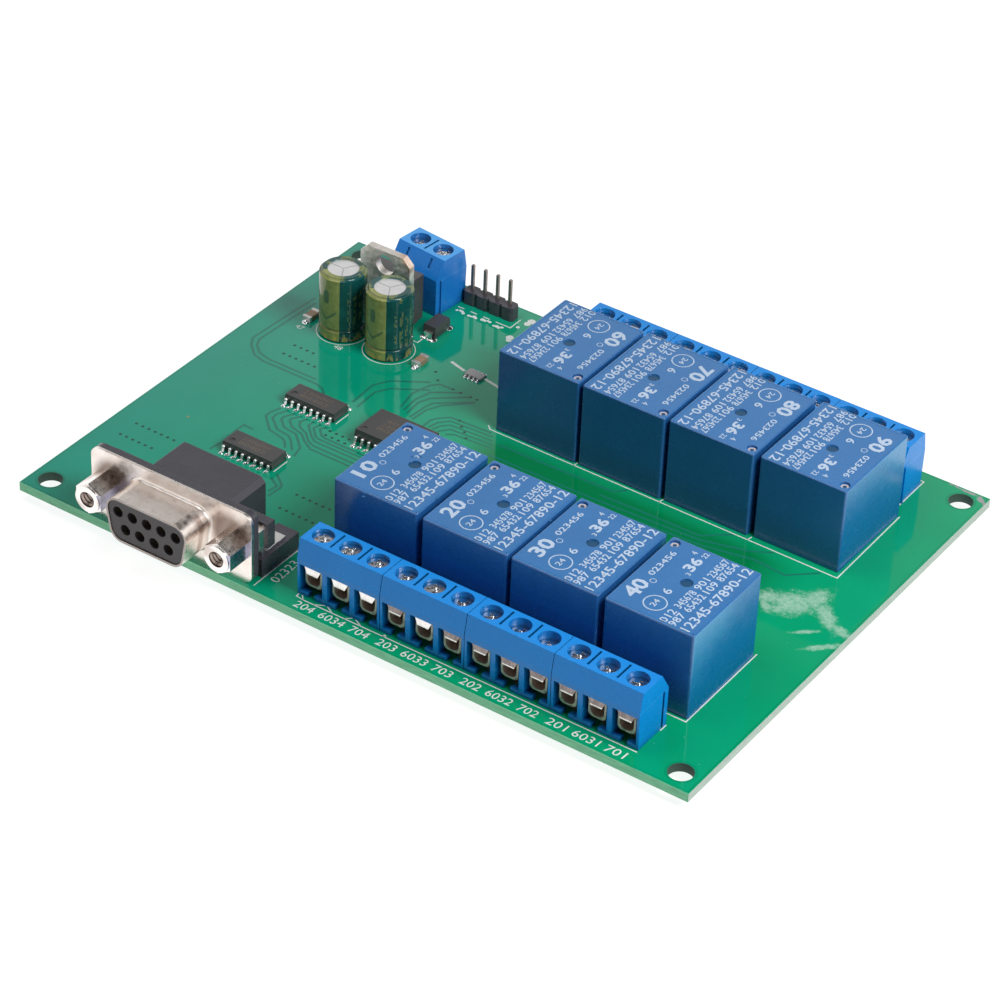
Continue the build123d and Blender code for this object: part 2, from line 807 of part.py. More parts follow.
def regulator_lead(clearance, low):
    blanks = []
    for x in regulator_lead_xs:
        lead_x = around(x, regulator_lead_width + 2 * clearance)
        lead_y = around(regulator_lead_y, regulator_lead_thickness + 2 * clearance)
        blanks.append(cuboid(lead_x, lead_y, (low, regulator_lift + regulator_lead_inset)))
    return blanks


def regulator_body():
    middle = regulator_lift + regulator_body_height / 2
    plane = Plane(origin=(0, tab_thickness, middle), x_dir=(1, 0, 0), z_dir=(0, -1, 0))
    face = Rectangle(regulator_width, regulator_body_height)
    body = extrude(plane * face, -regulator_body_depth, taper=regulator_draft)
    return body - regulator_lead(0, 0)


# Surface parts
def moulded_body(size):
    """A chip's body: both halves draw in from the parting line, with a notch at the first lead."""
    length, width, height = size
    middle = ic_lift + height / 2
    outline = Rectangle(length, width)
    upper = extrude(outline, height / 2, taper=ic_draft)
    lower = mirror(upper, about=Plane.XY)
    body = Pos(0, 0, middle) * (upper + lower)
    notch_x = -length / 2 + ic_notch_d
    notch_y = -width / 2 + ic_notch_d
    notch = Cylinder(ic_notch_d / 2, 2 * ic_notch_depth)
    return body - Pos(notch_x, notch_y, ic_lift + height) * notch


def gull_leads(count, size, span):
    """Both rows of formed leads: out from the parting line, down, and a flat foot on the pad."""
    width, height = size[1], size[2]
    t = gull_thickness
    shoulder_z = ic_lift + height / 2
    body_y = width / 2
    knee = (span / 2 - gull_foot - body_y) / 2 + body_y
    foot = span / 2
    heel = foot - gull_foot
    outline = [
        (body_y, shoulder_z - t / 2),
        (knee - t / 2, shoulder_z - t / 2),
        (heel, 0),
        (foot, 0),
        (foot, t),
        (heel + t, t),
        (knee + t / 2, shoulder_z + t / 2),
        (body_y, shoulder_z + t / 2),
    ]
    leads = []
    for side in (0, 180):
        for step in range(count):
            x = (step - (count - 1) / 2) * lead_pitch
            lead = side_profile(outline, around(x, gull_width))
            leads.append(Rot(0, 0, side) * lead)
    return leads


def diode_parts():
    """The diode's drafted body, with its tabs bent down and under at both ends."""
    width, length, height = diode_body
    outline = Rectangle(width, length)
    upper = extrude(outline, height / 2, taper=ic_draft)
    body = Pos(0, 0, ic_lift + height / 2) * (upper + mirror(upper, about=Plane.XY))
    t = diode_tab_thickness
    end = length / 2
    reach = end + diode_tab_reach
    mid = ic_lift + height / 2
    outline = [(end, mid - t / 2), (reach - t, mid - t / 2), (reach - t, t), (end - t, t),
               (end - t, 0), (reach, 0), (reach, mid + t / 2), (end, mid + t / 2)]
    tab = side_profile(outline, around(0, diode_tab_width))
    clear = side_profile([(end - 2 * t, 0), (reach, 0), (reach, t), (end - 2 * t, t)],
                         around(0, diode_tab_width))
    tabs = [tab, Rot(0, 0, 180) * tab]
    return body - clear - Rot(0, 0, 180) * clear, tabs


def chip_capacitor():
    """A ceramic block between two plated ends, which stand a little proud of it."""
    width, length, height = chip_size
    proud = chip_cap_proud
    body = cuboid(around(0, width - 2 * proud), around(0, length), (proud, height - proud))
    end = cuboid(around(0, width), (length / 2 - chip_cap_length, length / 2), (0, height))
    end = fillet(end.edges().filter_by(Axis.X), proud)
    return body + end + Rot(0, 0, 180) * end


def resistor_network():
    """Four resistors in one chip: a flat slab with four rounded terminals along each long side."""
    length, width, height = network_size
    slab = cuboid(around(0, length), around(0, width), (0, height))
    for step in range(network_ways):
        x = (step - (network_ways - 1) / 2) * network_pitch
        pad_y = around(0, width + 2 * network_pad_reach)
        slab += cuboid(around(x, network_pad_width), pad_y, (0, network_pad_height))
    return slab


# Pin header. Its own frame starts at the first pin.
header_place = seat(header_x, edge_y - header_edge)


def header_blank(clearance, low, high):
    size = header_pin + 2 * clearance
    pins = []
    for way in range(header_ways):
        pins.append(cuboid(around(way * header_pitch, size), around(0, size), (low, high)))
    return pins


def header_base():
    cell = chamfer(Rectangle(header_pitch, header_base_depth).vertices(), header_base_corner)
    block = extrude(cell, header_base_height)
    base = block
    for way in range(1, header_ways):
        base += Pos(way * header_pitch, 0, 0) * block
    return base - header_blank(0, -cut_margin, header_base_height + cut_margin)


def header_pins():
    low = underside_tip - top
    pins = []
    for pin in header_blank(0, low, header_pin_tip):
        tip = pin.faces().sort_by(Axis.Z)[-1].edges()
        pins.append(chamfer(tip, header_pin_taper * header_pin, header_pin_taper * header_pin))
    return pins


# Board, drilled for every lead
def lead_spots():
    """(x, y, hole diameter) of each plated hole."""
    def drill(width, thickness):
        return hypot(width, thickness) + 2 * lead_clearance

    spots = []
    for place in relay_places():
        size = drill(relay_pin_width, relay_pin_thickness)
        spots += [(*point_of(place, x, y), size) for x, y in relay_pin_seats]
    for place, poles, depths in terminal_places():
        size = drill(cage_pin_width, cage_pin_thickness)
        spots += [(*point_of(place, pole_x(pole), terminal_well_y), size) for pole in range(poles)]
    for x, z, tail_y in socket_spots():
        spots.append((*point_of(port_place, x, tail_y), drill(port_tail, port_tail)))
    for side in (-1, 1):
        size = drill(lock_leg_width, lock_leg_thickness)
        spots.append((*point_of(port_place, side * lock_x, lock_y), size))
    for place in capacitor_seats:
        spots += [(*point_of(seat(*place), x, 0), drill(capacitor_lead_d, 0)) for x in lead_xs]
    for x in regulator_lead_xs:
        size = drill(regulator_lead_width, regulator_lead_thickness)
        spots.append((*point_of(regulator_place, x, regulator_lead_y), size))
    for way in range(header_ways):
        spots.append((*point_of(header_place, way * header_pitch, 0), drill(header_pin, header_pin)))
    return spots


def circuit_board():
    sheet = Rectangle(board_length, board_width)
    holes = [place * Circle(mounting_hole_d / 2)
             for place in GridLocations(mounting_spacing_x, mounting_spacing_y, 2, 2)]
    holes += [Pos(x, y) * Circle(size / 2) for x, y, size in lead_spots()]
    return extrude(sheet - holes, board_thickness)


def build():
    """Every node by name."""
    nodes = {"circuit_board": circuit_board()}

    case, base = relay_case(), relay_base()
    for number, place in enumerate(relay_places(), start=1):
        nodes[f"relay_case_{number}"] = place * case
        nodes[f"relay_base_{number}"] = place * base
    nodes["relay_pins"] = group(relay_pins())

    blocks = terminal_places()
    housing = terminal_housing(terminal_poles)
    for number, (place, poles, depths) in enumerate(blocks[:-1], start=1):
        nodes[f"terminal_housing_{number}"] = place * housing
    nodes["power_terminal_housing"] = blocks[-1][0] * terminal_housing(power_terminal_poles)
    screws, cages, leaves = terminal_details()
    nodes["terminal_screws"] = group(screws)
    nodes["terminal_cages"] = group(cages)
    nodes["terminal_leaves"] = group(leaves)

    nodes["port_shell"] = port_place * port_shell()
    nodes["port_insert"] = port_place * port_insert()
    nodes["port_housing"] = port_place * port_housing()
    nodes["port_contacts"] = group(port_place * contact for contact in port_contacts())
    nodes["port_jack_screws"] = group(port_place * jack_screw(x) for x in jack_xs)
    nodes["port_nuts"] = group(port_place * jack_nut(x) for x in jack_xs)
    nodes["port_board_locks"] = group(port_place * board_lock(side) for side in (-1, 1))

    can, sleeve, seal = capacitor_can(), capacitor_sleeve(), capacitor_seal()
    for number, place in enumerate(capacitor_seats, start=1):
        nodes[f"capacitor_can_{number}"] = seat(*place) * can
        nodes[f"capacitor_sleeve_{number}"] = seat(*place) * sleeve
        nodes[f"capacitor_seal_{number}"] = seat(*place) * seal
    nodes["capacitor_leads"] = group(capacitor_leads())
    nodes["regulator_tab"] = regulator_place * regulator_tab()
    nodes["regulator_body"] = regulator_place * regulator_body()
    low = underside_tip - top
    nodes["regulator_leads"] = group(regulator_place * lead for lead in regulator_lead(0, low))

    narrow, wide = moulded_body(narrow_body), moulded_body(wide_body)
    nodes["lower_chip_body"] = seat(*lower_ic_seat) * narrow
    nodes["upper_chip_body"] = seat(*upper_ic_seat) * narrow
    nodes["wide_chip_body"] = seat(*wide_ic_seat) * wide
    chip_rows = [
        ("lower_chip_leads", lower_ic_seat, narrow_lead_count, narrow_body, narrow_span),
        ("upper_chip_leads", upper_ic_seat, narrow_lead_count, narrow_body, narrow_span),
        ("wide_chip_leads", wide_ic_seat, wide_lead_count, wide_body, wide_span),
    ]
    for name, place, count, size, span in chip_rows:
        nodes[name] = group(seat(*place) * lead for lead in gull_leads(count, size, span))

    body, tabs = diode_parts()
    nodes["diode_body"] = seat(*diode_seat) * body
    nodes["diode_tabs"] = group(seat(*diode_seat) * tab for tab in tabs)
    for number, place in enumerate(chip_seats, start=1):
        nodes[f"chip_capacitor_{number}"] = seat(*place) * chip_capacitor()
    nodes["resistor_network"] = seat(*network_seat) * resistor_network()
    nodes["header_base"] = header_place * header_base()
    nodes["header_pins"] = group(header_place * pin for pin in header_pins())
    return nodes


os.makedirs("parts", exist_ok=True)
for name, shape in build().items():
    export_step(shape, f"parts/{name}.step")
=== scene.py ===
import math
import random

import bmesh
import bpy
from mathutils import Matrix, Vector


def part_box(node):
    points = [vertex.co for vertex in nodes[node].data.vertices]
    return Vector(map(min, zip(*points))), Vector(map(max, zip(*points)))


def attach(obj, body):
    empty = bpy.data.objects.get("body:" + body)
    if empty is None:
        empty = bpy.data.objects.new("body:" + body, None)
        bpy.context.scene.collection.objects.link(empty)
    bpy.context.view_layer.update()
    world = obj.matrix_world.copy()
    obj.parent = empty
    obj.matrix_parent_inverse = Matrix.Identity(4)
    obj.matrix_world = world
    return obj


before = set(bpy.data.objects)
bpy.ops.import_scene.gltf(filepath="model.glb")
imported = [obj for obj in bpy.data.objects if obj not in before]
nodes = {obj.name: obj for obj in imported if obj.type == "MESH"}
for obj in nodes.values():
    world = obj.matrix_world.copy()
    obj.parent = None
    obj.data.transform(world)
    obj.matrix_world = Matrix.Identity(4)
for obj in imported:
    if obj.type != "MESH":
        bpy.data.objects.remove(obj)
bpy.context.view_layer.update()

MM = 0.001
draw = random.Random(7)
scene = bpy.context.scene

# Sizes and places on the part, in mm

board_top = 1.6
half_x, half_y = 62.0, 44.7
hole_x, hole_y = 58.55, 41.3
port_x, port_z = -32.35, 8.0
jack_x = 12.495
skirt_rim_y = -49.8
mouth_y = 40.4
seam_z = board_top + 6.7
relay_height = 15.3
tail_end = -1.8

# How far print lies over what it is printed on
print_lift = 0.02


def box_mm(name):
    """A solid's lowest corner, highest corner and middle."""
    low, high = (Vector(corner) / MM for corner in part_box(name))
    return low, high, (low + high) / 2


# Materials


class Graph:
    """The nodes of a material or of the world."""

    def __init__(self, owner):
        owner.use_nodes = True
        self.tree = owner.node_tree

    def node(self, kind, inputs=None, **settings):
        """A new node; inputs says what feeds each socket, a plain value or another node's output."""
        made = self.tree.nodes.new(kind)
        for key, value in settings.items():
            setattr(made, key, value)
        for key, value in (inputs or {}).items():
            self.feed(made.inputs[key], value)
        return made

    def feed(self, socket, value):
        if isinstance(value, bpy.types.NodeSocket):
            self.tree.links.new(value, socket)
        elif isinstance(value, tuple) and len(value) == 3 and socket.type == "RGBA":
            socket.default_value = (*value, 1.0)
        else:
            socket.default_value = value

    def math(self, operation, a, b=0.0, clamp=False):
        return self.node("ShaderNodeMath", {0: a, 1: b}, operation=operation, use_clamp=clamp).outputs[0]

    def plus(self, a, b):
        return self.math("ADD", a, b)

    def minus(self, a, b):
        return self.math("SUBTRACT", a, b)

    def times(self, a, b, *more):
        product = self.math("MULTIPLY", a, b)
        for value in more:
            product = self.math("MULTIPLY", product, value)
        return product

    def larger(self, a, b):
        return self.math("MAXIMUM", a, b)

    def size(self, a):
        return self.math("ABSOLUTE", a)

    def above(self, a, limit):
        """1 above a limit, 0 below it."""
        return self.math("GREATER_THAN", a, limit)

    def below(self, a, limit):
        """1 below a limit, 0 above it."""
        return self.math("LESS_THAN", a, limit)

    def near(self, a, middle, half):
        """1 within half of a middle, 0 further away."""
        return self.below(self.size(self.minus(a, middle)), half)

    def radius(self, a, b):
        """Length of the flat vector (a, b)."""
        return self.math("SQRT", self.plus(self.times(a, a), self.times(b, b)))

    def span(self, value, low, high, out_low=0.0, out_high=1.0, smooth=False):
        """A value between low and high, stretched over another range."""
        inputs = {"Value": value, "From Min": low, "From Max": high, "To Min": out_low, "To Max": out_high}
        course = "SMOOTHSTEP" if smooth else "LINEAR"
        made = self.node("ShaderNodeMapRange", inputs, clamp=True, interpolation_type=course)
        return made.outputs["Result"]

    def mix(self, factor, a, b):
        return self.node("ShaderNodeMix", {0: factor, 6: a, 7: b}, data_type="RGBA").outputs[2]

    def mix_value(self, factor, a, b):
        return self.node("ShaderNodeMix", {0: factor, 2: a, 3: b}, data_type="FLOAT").outputs[0]

    def parts(self, vector):
        """The x, y and z of a vector."""
        return tuple(self.node("ShaderNodeSeparateXYZ", {0: vector}).outputs)


class Look(Graph):
    """One procedural material: a principled shader and the nodes that feed it."""

    def __init__(self, name, colour, roughness, metallic=0.0, **settings):
        self.material = bpy.data.materials.new(name)
        super().__init__(self.material)
        self.shader = self.tree.nodes["Principled BSDF"]
        self.colour(colour).rough(roughness).metallic(metallic)
        for key, value in settings.items():
            self.shader.inputs[key.replace("_", " ")].default_value = value
        self.coordinates = self.node("ShaderNodeTexCoord").outputs["Object"]
        self.normal = None

    def at(self, origin=(0.0, 0.0, 0.0), scale=(1.0, 1.0, 1.0)):
        """Coordinates in mm, counted from an origin in the row frame."""
        inputs = {
            "Vector": self.coordinates,
            "Scale": [1000 * s for s in scale],
            "Location": [-p * s for p, s in zip(origin, scale)],
        }
        return self.node("ShaderNodeMapping", inputs, vector_type="POINT").outputs["Vector"]

    def place(self, origin=(0.0, 0.0, 0.0)):
        """The x, y and z of those coordinates."""
        return self.parts(self.at(origin))

    def facing(self):
        """The surface's own direction, x, y and z."""
        return self.parts(self.node("ShaderNodeNewGeometry").outputs["True Normal"])

    def noise(self, size_mm, detail=2.0, stretch=(1.0, 1.0, 1.0), rough=0.5):
        """Noise whose blobs are about size_mm, longer along an axis whose stretch is above 1."""
        inputs = {
            "Vector": self.at(scale=tuple(1.0 / s for s in stretch)),
            "Scale": 1.0 / size_mm,
            "Detail": detail,
            "Roughness": rough,
        }
        return self.node("ShaderNodeTexNoise", inputs).outputs["Fac"]

    def cloud(self, size_mm, detail=3.0, low=0.3, high=0.7, out_low=0.0, out_high=1.0,
              stretch=(1.0, 1.0, 1.0), rough=0.5):
        """Noise between low and high, stretched over another range."""
        return self.span(self.noise(size_mm, detail, stretch, rough), low, high, out_low, out_high)

    def varied(self, factor, colour, low, high):
        """A colour between a darker and a lighter shade of itself."""
        return self.mix(factor, scaled(colour, low), scaled(colour, high))

    def tint(self, colour, factor):
        """A colour made lighter or darker by a value near 1."""
        inputs = {0: colour, "Scale": factor}
        return self.node("ShaderNodeVectorMath", inputs, operation="SCALE").outputs[0]

    def nearest(self, spots):
        """Distance from the nearest of some ellipses on the board: 0 at a middle, 1 on a rim."""
        closest = None
        for place, (half_long, half_wide), heading in spots:
            mapping = self.node("ShaderNodeMapping", {
                "Vector": self.coordinates,
                "Location": (place[0] * MM, place[1] * MM, board_top * MM),
                "Rotation": (0.0, 0.0, math.radians(heading)),
                "Scale": (half_long * MM, half_wide * MM, 1.0),
            }, vector_type="TEXTURE")
            length = self.node("ShaderNodeVectorMath", {0: mapping.outputs[0]}, operation="LENGTH")
            reach = length.outputs["Value"]
            closest = reach if closest is None else self.math("MINIMUM", closest, reach)
        return closest

    def soften(self, radius_mm):
        """Edges rounded to the light, with the shape as it is."""
        bevel = self.node("ShaderNodeBevel", {"Radius": radius_mm * MM}, samples=4)
        return self.turn_normal(bevel)

    def bump(self, height, depth_mm):
        inputs = {"Strength": 1.0, "Distance": depth_mm * MM, "Height": height}
        if self.normal is not None:
            inputs["Normal"] = self.normal
        return self.turn_normal(self.node("ShaderNodeBump", inputs))

    def turn_normal(self, node):
        self.normal = node.outputs["Normal"]
        return self.set("Normal", self.normal)

    def set(self, name, value):
        self.feed(self.shader.inputs[name], value)
        return self

    def colour(self, value):
        return self.set("Base Color", value)

    def rough(self, value):
        return self.set("Roughness", value)

    def metallic(self, value):
        return self.set("Metallic", value)


def scaled(colour, factor):
    return tuple(min(1.0, channel * factor) for channel in colour)


def plastic(name, colour, roughness, grain_mm=0.25, grain_depth=0.003, edge=0.12, spread=0.08, **settings):
    """Moulded plastic: a fine grain, a slow drift of tone and rounded edges that catch light."""
    look = Look(name, colour, roughness, **settings)
    look.soften(edge)
    look.colour(look.varied(look.cloud(6.0), colour, 1 - spread, 1 + spread))
    look.rough(look.cloud(1.5, out_low=roughness * 0.85, out_high=roughness * 1.2))
    return look.bump(look.noise(grain_mm), grain_depth)


def metal(name, colour, roughness, streak=(1.0, 1.0, 1.0), streak_mm=0.3, depth=0.004, edge=0.06,
          stain=0.12):
    """Plated metal: fine streaks, a slow stain of tone and bright edges."""
    look = Look(name, colour, roughness, 1.0)
    look.soften(edge)
    look.colour(look.varied(look.cloud(2.5, 4.0, 0.35), colour, 1.0, 1 - stain))
    look.rough(look.cloud(0.8, out_low=roughness * 0.75, out_high=roughness * 1.3))
    return look.bump(look.noise(streak_mm, 3.0, streak), depth)


mask_green = (0.001, 0.375, 0.165)
mask_shaded = (0.002, 0.325, 0.222)
# Painted shade for the board between the relay rows
mask_row_shade = (0.0003, 0.205, 0.062)
mask_dark = (0.001, 0.150, 0.075)
dried_flux = (0.42, 0.66, 0.52)
rubbed_mask = (0.48, 0.36, 0.42)
laminate = (0.26, 0.72, 0.42)
laminate_cut = (0.50, 0.61, 0.53)
hole_wall = (0.035, 0.080, 0.060)
terminal_blue = (0.003, 0.270, 0.790)
# Painted light: a lighter blue for the terminals' tops
terminal_top_lit = (0.018, 0.283, 0.800)
# Painted highlight: the lighter blue of the terminals' parting line
terminal_seam_highlight = (0.10, 0.42, 0.90)
power_blue = (0.015, 0.225, 0.720)
# Painted light: a lighter blue for the power terminal's top
power_top_lit = (0.100, 0.450, 1.000)
relay_blue = (0.019, 0.125, 0.368)
# Painted light: the tone of the outer end faces of the rows
relay_end_lit_tone = (0.001, 0.130, 0.400)
# Painted light: a lighter blue for the relays' tops
relay_top_lit = (0.034, 0.180, 0.460)
# Painted reflection: the pale sheen on the rows' outer end faces
relay_end_sheen = (0.10, 0.54, 0.82)
film_teal = (0.006, 0.080, 0.077)
film_gold = (0.30, 0.33, 0.10)
film_glint = (0.62, 0.44, 0.10)

# Dried flux beside the last relays: (x, y), (half length, half width), heading in degrees
flux_spots = [
    ((47.2, 1.6), (2.6, 1.8), 20), ((51.0, 2.4), (4.4, 3.1), 50), ((53.2, 5.2), (3.4, 2.1), 80),
    ((56.6, 2.8), (4.2, 1.5), -42), ((60.4, 0.8), (2.4, 1.0), -20), ((60.2, -4.0), (3.4, 0.7), 46),
    ((48.0, -0.6), (2.0, 0.9), -40), ((56.0, -2.6), (2.6, 0.45), 40),
]
# A rubbed place along the edge at the far corner, written the same way
scuff_spots = [((57.9, 44.25), (2.9, 0.36), -3), ((60.9, 43.55), (1.5, 0.55), -38)]


def board_look():
    """Solder mask on both faces, worn and stained, with painted shade between the relay rows, and bare
    laminate at the cuts.
    """
    look = Look("solder_mask", mask_green, 0.07, IOR=1.5)
    x, y, z = look.place()
    far_x, far_y = look.size(x), look.size(y)
    facing_x, _, facing_z = look.facing()
    flat = look.above(look.size(facing_z), 0.7)

    mask = look.mix(look.span(x, 10.0, -60.0), mask_green, mask_shaded)
    mask = look.tint(mask, look.cloud(14.0, out_low=0.95, out_high=1.05))
    # Painted shade on the board between the two relay rows
    left_end, right_end = look.span(x, -14.0, -7.0), look.span(x, 50.0, 40.0)
    shade_between_rows = look.times(look.span(far_y, 12.5, 9.0), right_end, left_end)
    mask = look.mix(shade_between_rows, mask, mask_row_shade)

    inset = look.math("MINIMUM", look.minus(half_x, far_x), look.minus(half_y, far_y))
    margin = look.times(look.above(inset, 0.22), look.below(inset, 0.42))
    from_hole = look.radius(look.minus(far_x, hole_x), look.minus(far_y, hole_y))
    darker = look.larger(look.times(margin, 0.35), look.times(look.below(from_hole, 2.45), 0.3))
    mask = look.mix(darker, mask, mask_dark)

    ripple = look.span(look.math("PINGPONG", y, 0.32), 0.0, 0.32, 0.97, 1.03)
    mask = look.tint(mask, look.mix_value(look.span(x, 44.0, 52.0), 1.0, ripple))
    torn = look.plus(look.nearest(flux_spots), look.cloud(1.5, 9.0, 0.25, 0.75, -0.66, 0.50, rough=0.78))
    crust = look.span(torn, 1.12, 0.30, smooth=True)
    crust = look.times(crust, look.cloud(0.6, 6.0, 0.3, 0.65, 0.25, 0.95, rough=0.75))
    dust = look.times(look.cloud(0.55, 2.0, 0.735, 0.76, 0.0, 0.35), look.cloud(20.0, 1.0, 0.5, 0.6))
    crust = look.larger(crust, dust)
    mask = look.mix(crust, mask, dried_flux)
    rubbed = look.plus(look.nearest(scuff_spots), look.cloud(0.9, 5.0, out_low=-0.4, out_high=0.5))
    mask = look.mix(look.times(look.span(rubbed, 1.1, 0.6), 0.8), mask, rubbed_mask)

    weave = look.cloud(0.45, 2.0, 0.35, 0.65, stretch=(5.0, 5.0, 0.5))
    core = look.varied(weave, laminate, 0.86, 1.1)
    core = look.mix(look.span(z, 1.38, 1.5), core, scaled(laminate, 1.15))
    core = look.mix(look.above(facing_x, 0.7), core, look.varied(weave, laminate_cut, 1.0, 0.86))
    core = look.mix(look.below(from_hole, 2.3), core, hole_wall)
    look.colour(look.mix(flat, core, mask))
    gloss = look.plus(look.cloud(9.0, 4.0, 0.35, 0.7, 0.05, 0.10), look.times(crust, 0.7))
    look.rough(look.plus(gloss, look.times(look.minus(1.0, flat), 0.6)))
    return look.bump(look.noise(2.2), 0.002)


def clamp_look():
    """The wire clamps: tinned at the mouth, dark brown within."""
    look = metal("clamp_tin", (0.62, 0.68, 0.60), 0.34)
    within = look.span(look.size(look.place()[1]), mouth_y + 0.02, mouth_y - 0.1)
    mouth = look.mix(look.cloud(0.9, 3.0, 0.35), (0.42, 0.42, 0.37), (0.24, 0.22, 0.19))
    look.colour(look.mix(within, mouth, (0.50, 0.37, 0.30)))
    return look.metallic(look.span(within, 0.0, 1.0, 0.8, 0.0))


def leaf_look():
    """The flaps in front of the screws: some caught the light, the others are grey-brown."""
    look = metal("flap_tin", (0.7, 0.7, 0.7), 0.30)
    x, y, z = look.place()
    bright = look.larger(look.below(x, 4.9), look.near(x, 12.8, 2.2))
    brushed = look.cloud(0.35, stretch=(1.0, 1.0, 4.0))
    grey = look.mix(brushed, (0.17, 0.14, 0.135), (0.30, 0.26, 0.25))
    pale = look.mix(brushed, (0.80, 0.76, 0.73), (0.92, 0.90, 0.88))
    # Painted highlight: some flaps and every flap's top edge take the pale tone
    tone = look.mix(look.larger(bright, look.span(z, 6.12, 6.02)), grey, pale)
    within = look.below(look.size(y), mouth_y + 0.15)
    return look.colour(look.mix(within, tone, (0.30, 0.22, 0.18)))


def jack_look():
    """The jack screws: nickel plate mottled with painted reflections, painted shade on the shoulder and in
    the bores, bluish with painted reflection where it faces right.
    """
    look = metal("jack_nickel", (0.80, 0.73, 0.68), 0.27, (1.0, 5.0, 1.0), 0.4, 0.001)
    x, y, z = look.place((port_x, 0.0, port_z))
    to_right = look.facing()[0]
    # Painted reflection: the pale nickel mottled with brown
    mottled_reflection = look.cloud(3.0, 1.0, 0.50, 0.70, 0.0, 0.6, (1.0, 2.5, 1.0))
    bright = look.mix(mottled_reflection, (0.97, 0.93, 0.90), (0.50, 0.38, 0.32))
    # Painted shade: darker brown on the shoulder's faces turned right
    shoulder_shade = look.times(look.above(to_right, 0.3), look.span(y, -47.8, -45.2))
    bright = look.mix(look.times(shoulder_shade, 0.75), bright, (0.30, 0.20, 0.15))
    # Painted reflection: bluish on the faces turned right
    bright = look.mix(look.times(look.above(to_right, 0.8), 0.7), bright, (0.25, 0.30, 0.52))
    # Painted shade: the bores darkened
    bore_shade = look.below(look.radius(look.minus(look.size(x), jack_x), z), 1.36)
    return look.colour(look.mix(bore_shade, bright, (0.16, 0.11, 0.09)))


def shell_look():
    """The port's drawn shell: satin nickel, browner round the jack screws where it takes their painted
    reflection.
    """
    look = metal("port_nickel", (0.84, 0.75, 0.69), 0.33, (6.0, 1.0, 1.0), 0.8, 0.0006, stain=0.08)
    x, y, z = look.place((port_x, 0.0, port_z))
    from_jack = look.radius(look.minus(look.size(x), jack_x - 1.2), look.minus(z, 1.6))
    # Painted reflection: the jack screws mirrored dark brown on the flange round them
    jack_reflection = look.times(look.span(from_jack, 4.4, 2.2, smooth=True), look.above(y, -44.6))
    satin = look.mix(look.cloud(2.2, 3.0, 0.35, 0.65), (0.95, 0.88, 0.83), (0.86, 0.77, 0.71))
    reflected = look.mix(look.times(jack_reflection, 0.75), satin, (0.16, 0.10, 0.075))
    # The skirt's right corner gets a painted red-brown streak, its reflection of the jack screw, and its
    # cut rim is dull
    streak = look.span(look.size(look.minus(y, -46.0)), 0.75, 0.35)
    corner = look.times(look.span(x, 5.9, 6.5), streak, look.below(y, -44.8))
    reflected = look.mix(look.times(corner, 0.55), reflected, (0.28, 0.15, 0.11))
    cut = look.times(look.below(look.facing()[1], -0.9), look.below(y, skirt_rim_y + 0.3))
    return look.colour(look.mix(look.times(cut, 0.8), reflected, (0.22, 0.19, 0.18)))


def terminal_look():
    """Glossy blue moulding: painted shade in the recesses, painted light on the tops, and a fine parting
    line round the ends painted lighter as its highlight.
    """
    look = plastic("terminal_blue", terminal_blue, 0.25, 0.5, 0.0008, 0.08, 0.04, Specular_IOR_Level=0.3)
    x, _, z = look.place()
    facing_x, _, facing_z = look.facing()
    at_power = look.span(x, -20.0, -36.0)
    plain = look.varied(look.cloud(6.0), terminal_blue, 0.97, 1.03)
    plain = look.mix(at_power, plain, power_blue)
    # Faces turned up take the lighter blues: painted light on the tops
    plain = look.mix(look.above(facing_z, 0.9), plain, look.mix(at_power, terminal_top_lit, power_top_lit))
    # The parting line is painted lighter: a painted highlight along it
    seam = look.times(look.near(z, seam_z, 0.07), look.above(look.size(facing_x), 0.8))
    plain = look.mix(look.times(seam, 0.45), plain, terminal_seam_highlight)
    # Painted shade: the blue darkens where the moulding closes in round a point
    open_sky = look.node("ShaderNodeAmbientOcclusion", {"Distance": 2.2 * MM}, samples=6)
    recess_shade = look.span(open_sky.outputs["AO"], 0.30, 0.78, 0.85, 0.0)
    return look.colour(look.mix(recess_shade, plain, scaled(terminal_blue, 0.28)))


def relay_look():
    """The relays' satin cover, with painted light on the tops and on the sides that end the rows, a pale
    painted sheen on those sides, and painted shade low on the fronts.
    """
    look = plastic("relay_blue", relay_blue, 0.25, 0.3, 0.0008, 0.05, 0.04, Specular_IOR_Level=0.75)
    x, y, z = look.place()
    facing_x, facing_y, facing_z = look.facing()
    drift = look.cloud(6.0)
    outer = look.times(look.above(x, 50.0), look.above(facing_x, 0.8))
    # The rows' outer end faces take a tone of their own: painted light
    plain = look.mix(outer, look.varied(drift, relay_blue, 0.96, 1.04), relay_end_lit_tone)
    # Tops take the lighter blue: painted light
    plain = look.mix(look.above(facing_z, 0.9), plain, look.varied(drift, relay_top_lit, 0.97, 1.05))
    # Painted shade low on the fronts
    low_front_shade = look.times(look.below(facing_y, -0.8), look.span(z, 9.0, 3.0, smooth=True))
    plain = look.tint(plain, look.mix_value(low_front_shade, 1.0, 0.74))
    # A pale painted sheen on the outer end faces, stronger towards the top
    slope = look.times(look.math("PINGPONG", look.plus(y, 31.4), 31.0), 0.42)
    slant = look.plus(look.minus(z, slope), look.cloud(5.0, out_low=-1.5, out_high=1.5))
    painted_sheen = look.times(look.span(slant, 4.0, 17.0, smooth=True), outer)
    return look.colour(look.mix(look.times(painted_sheen, 0.36), plain, relay_end_sheen))


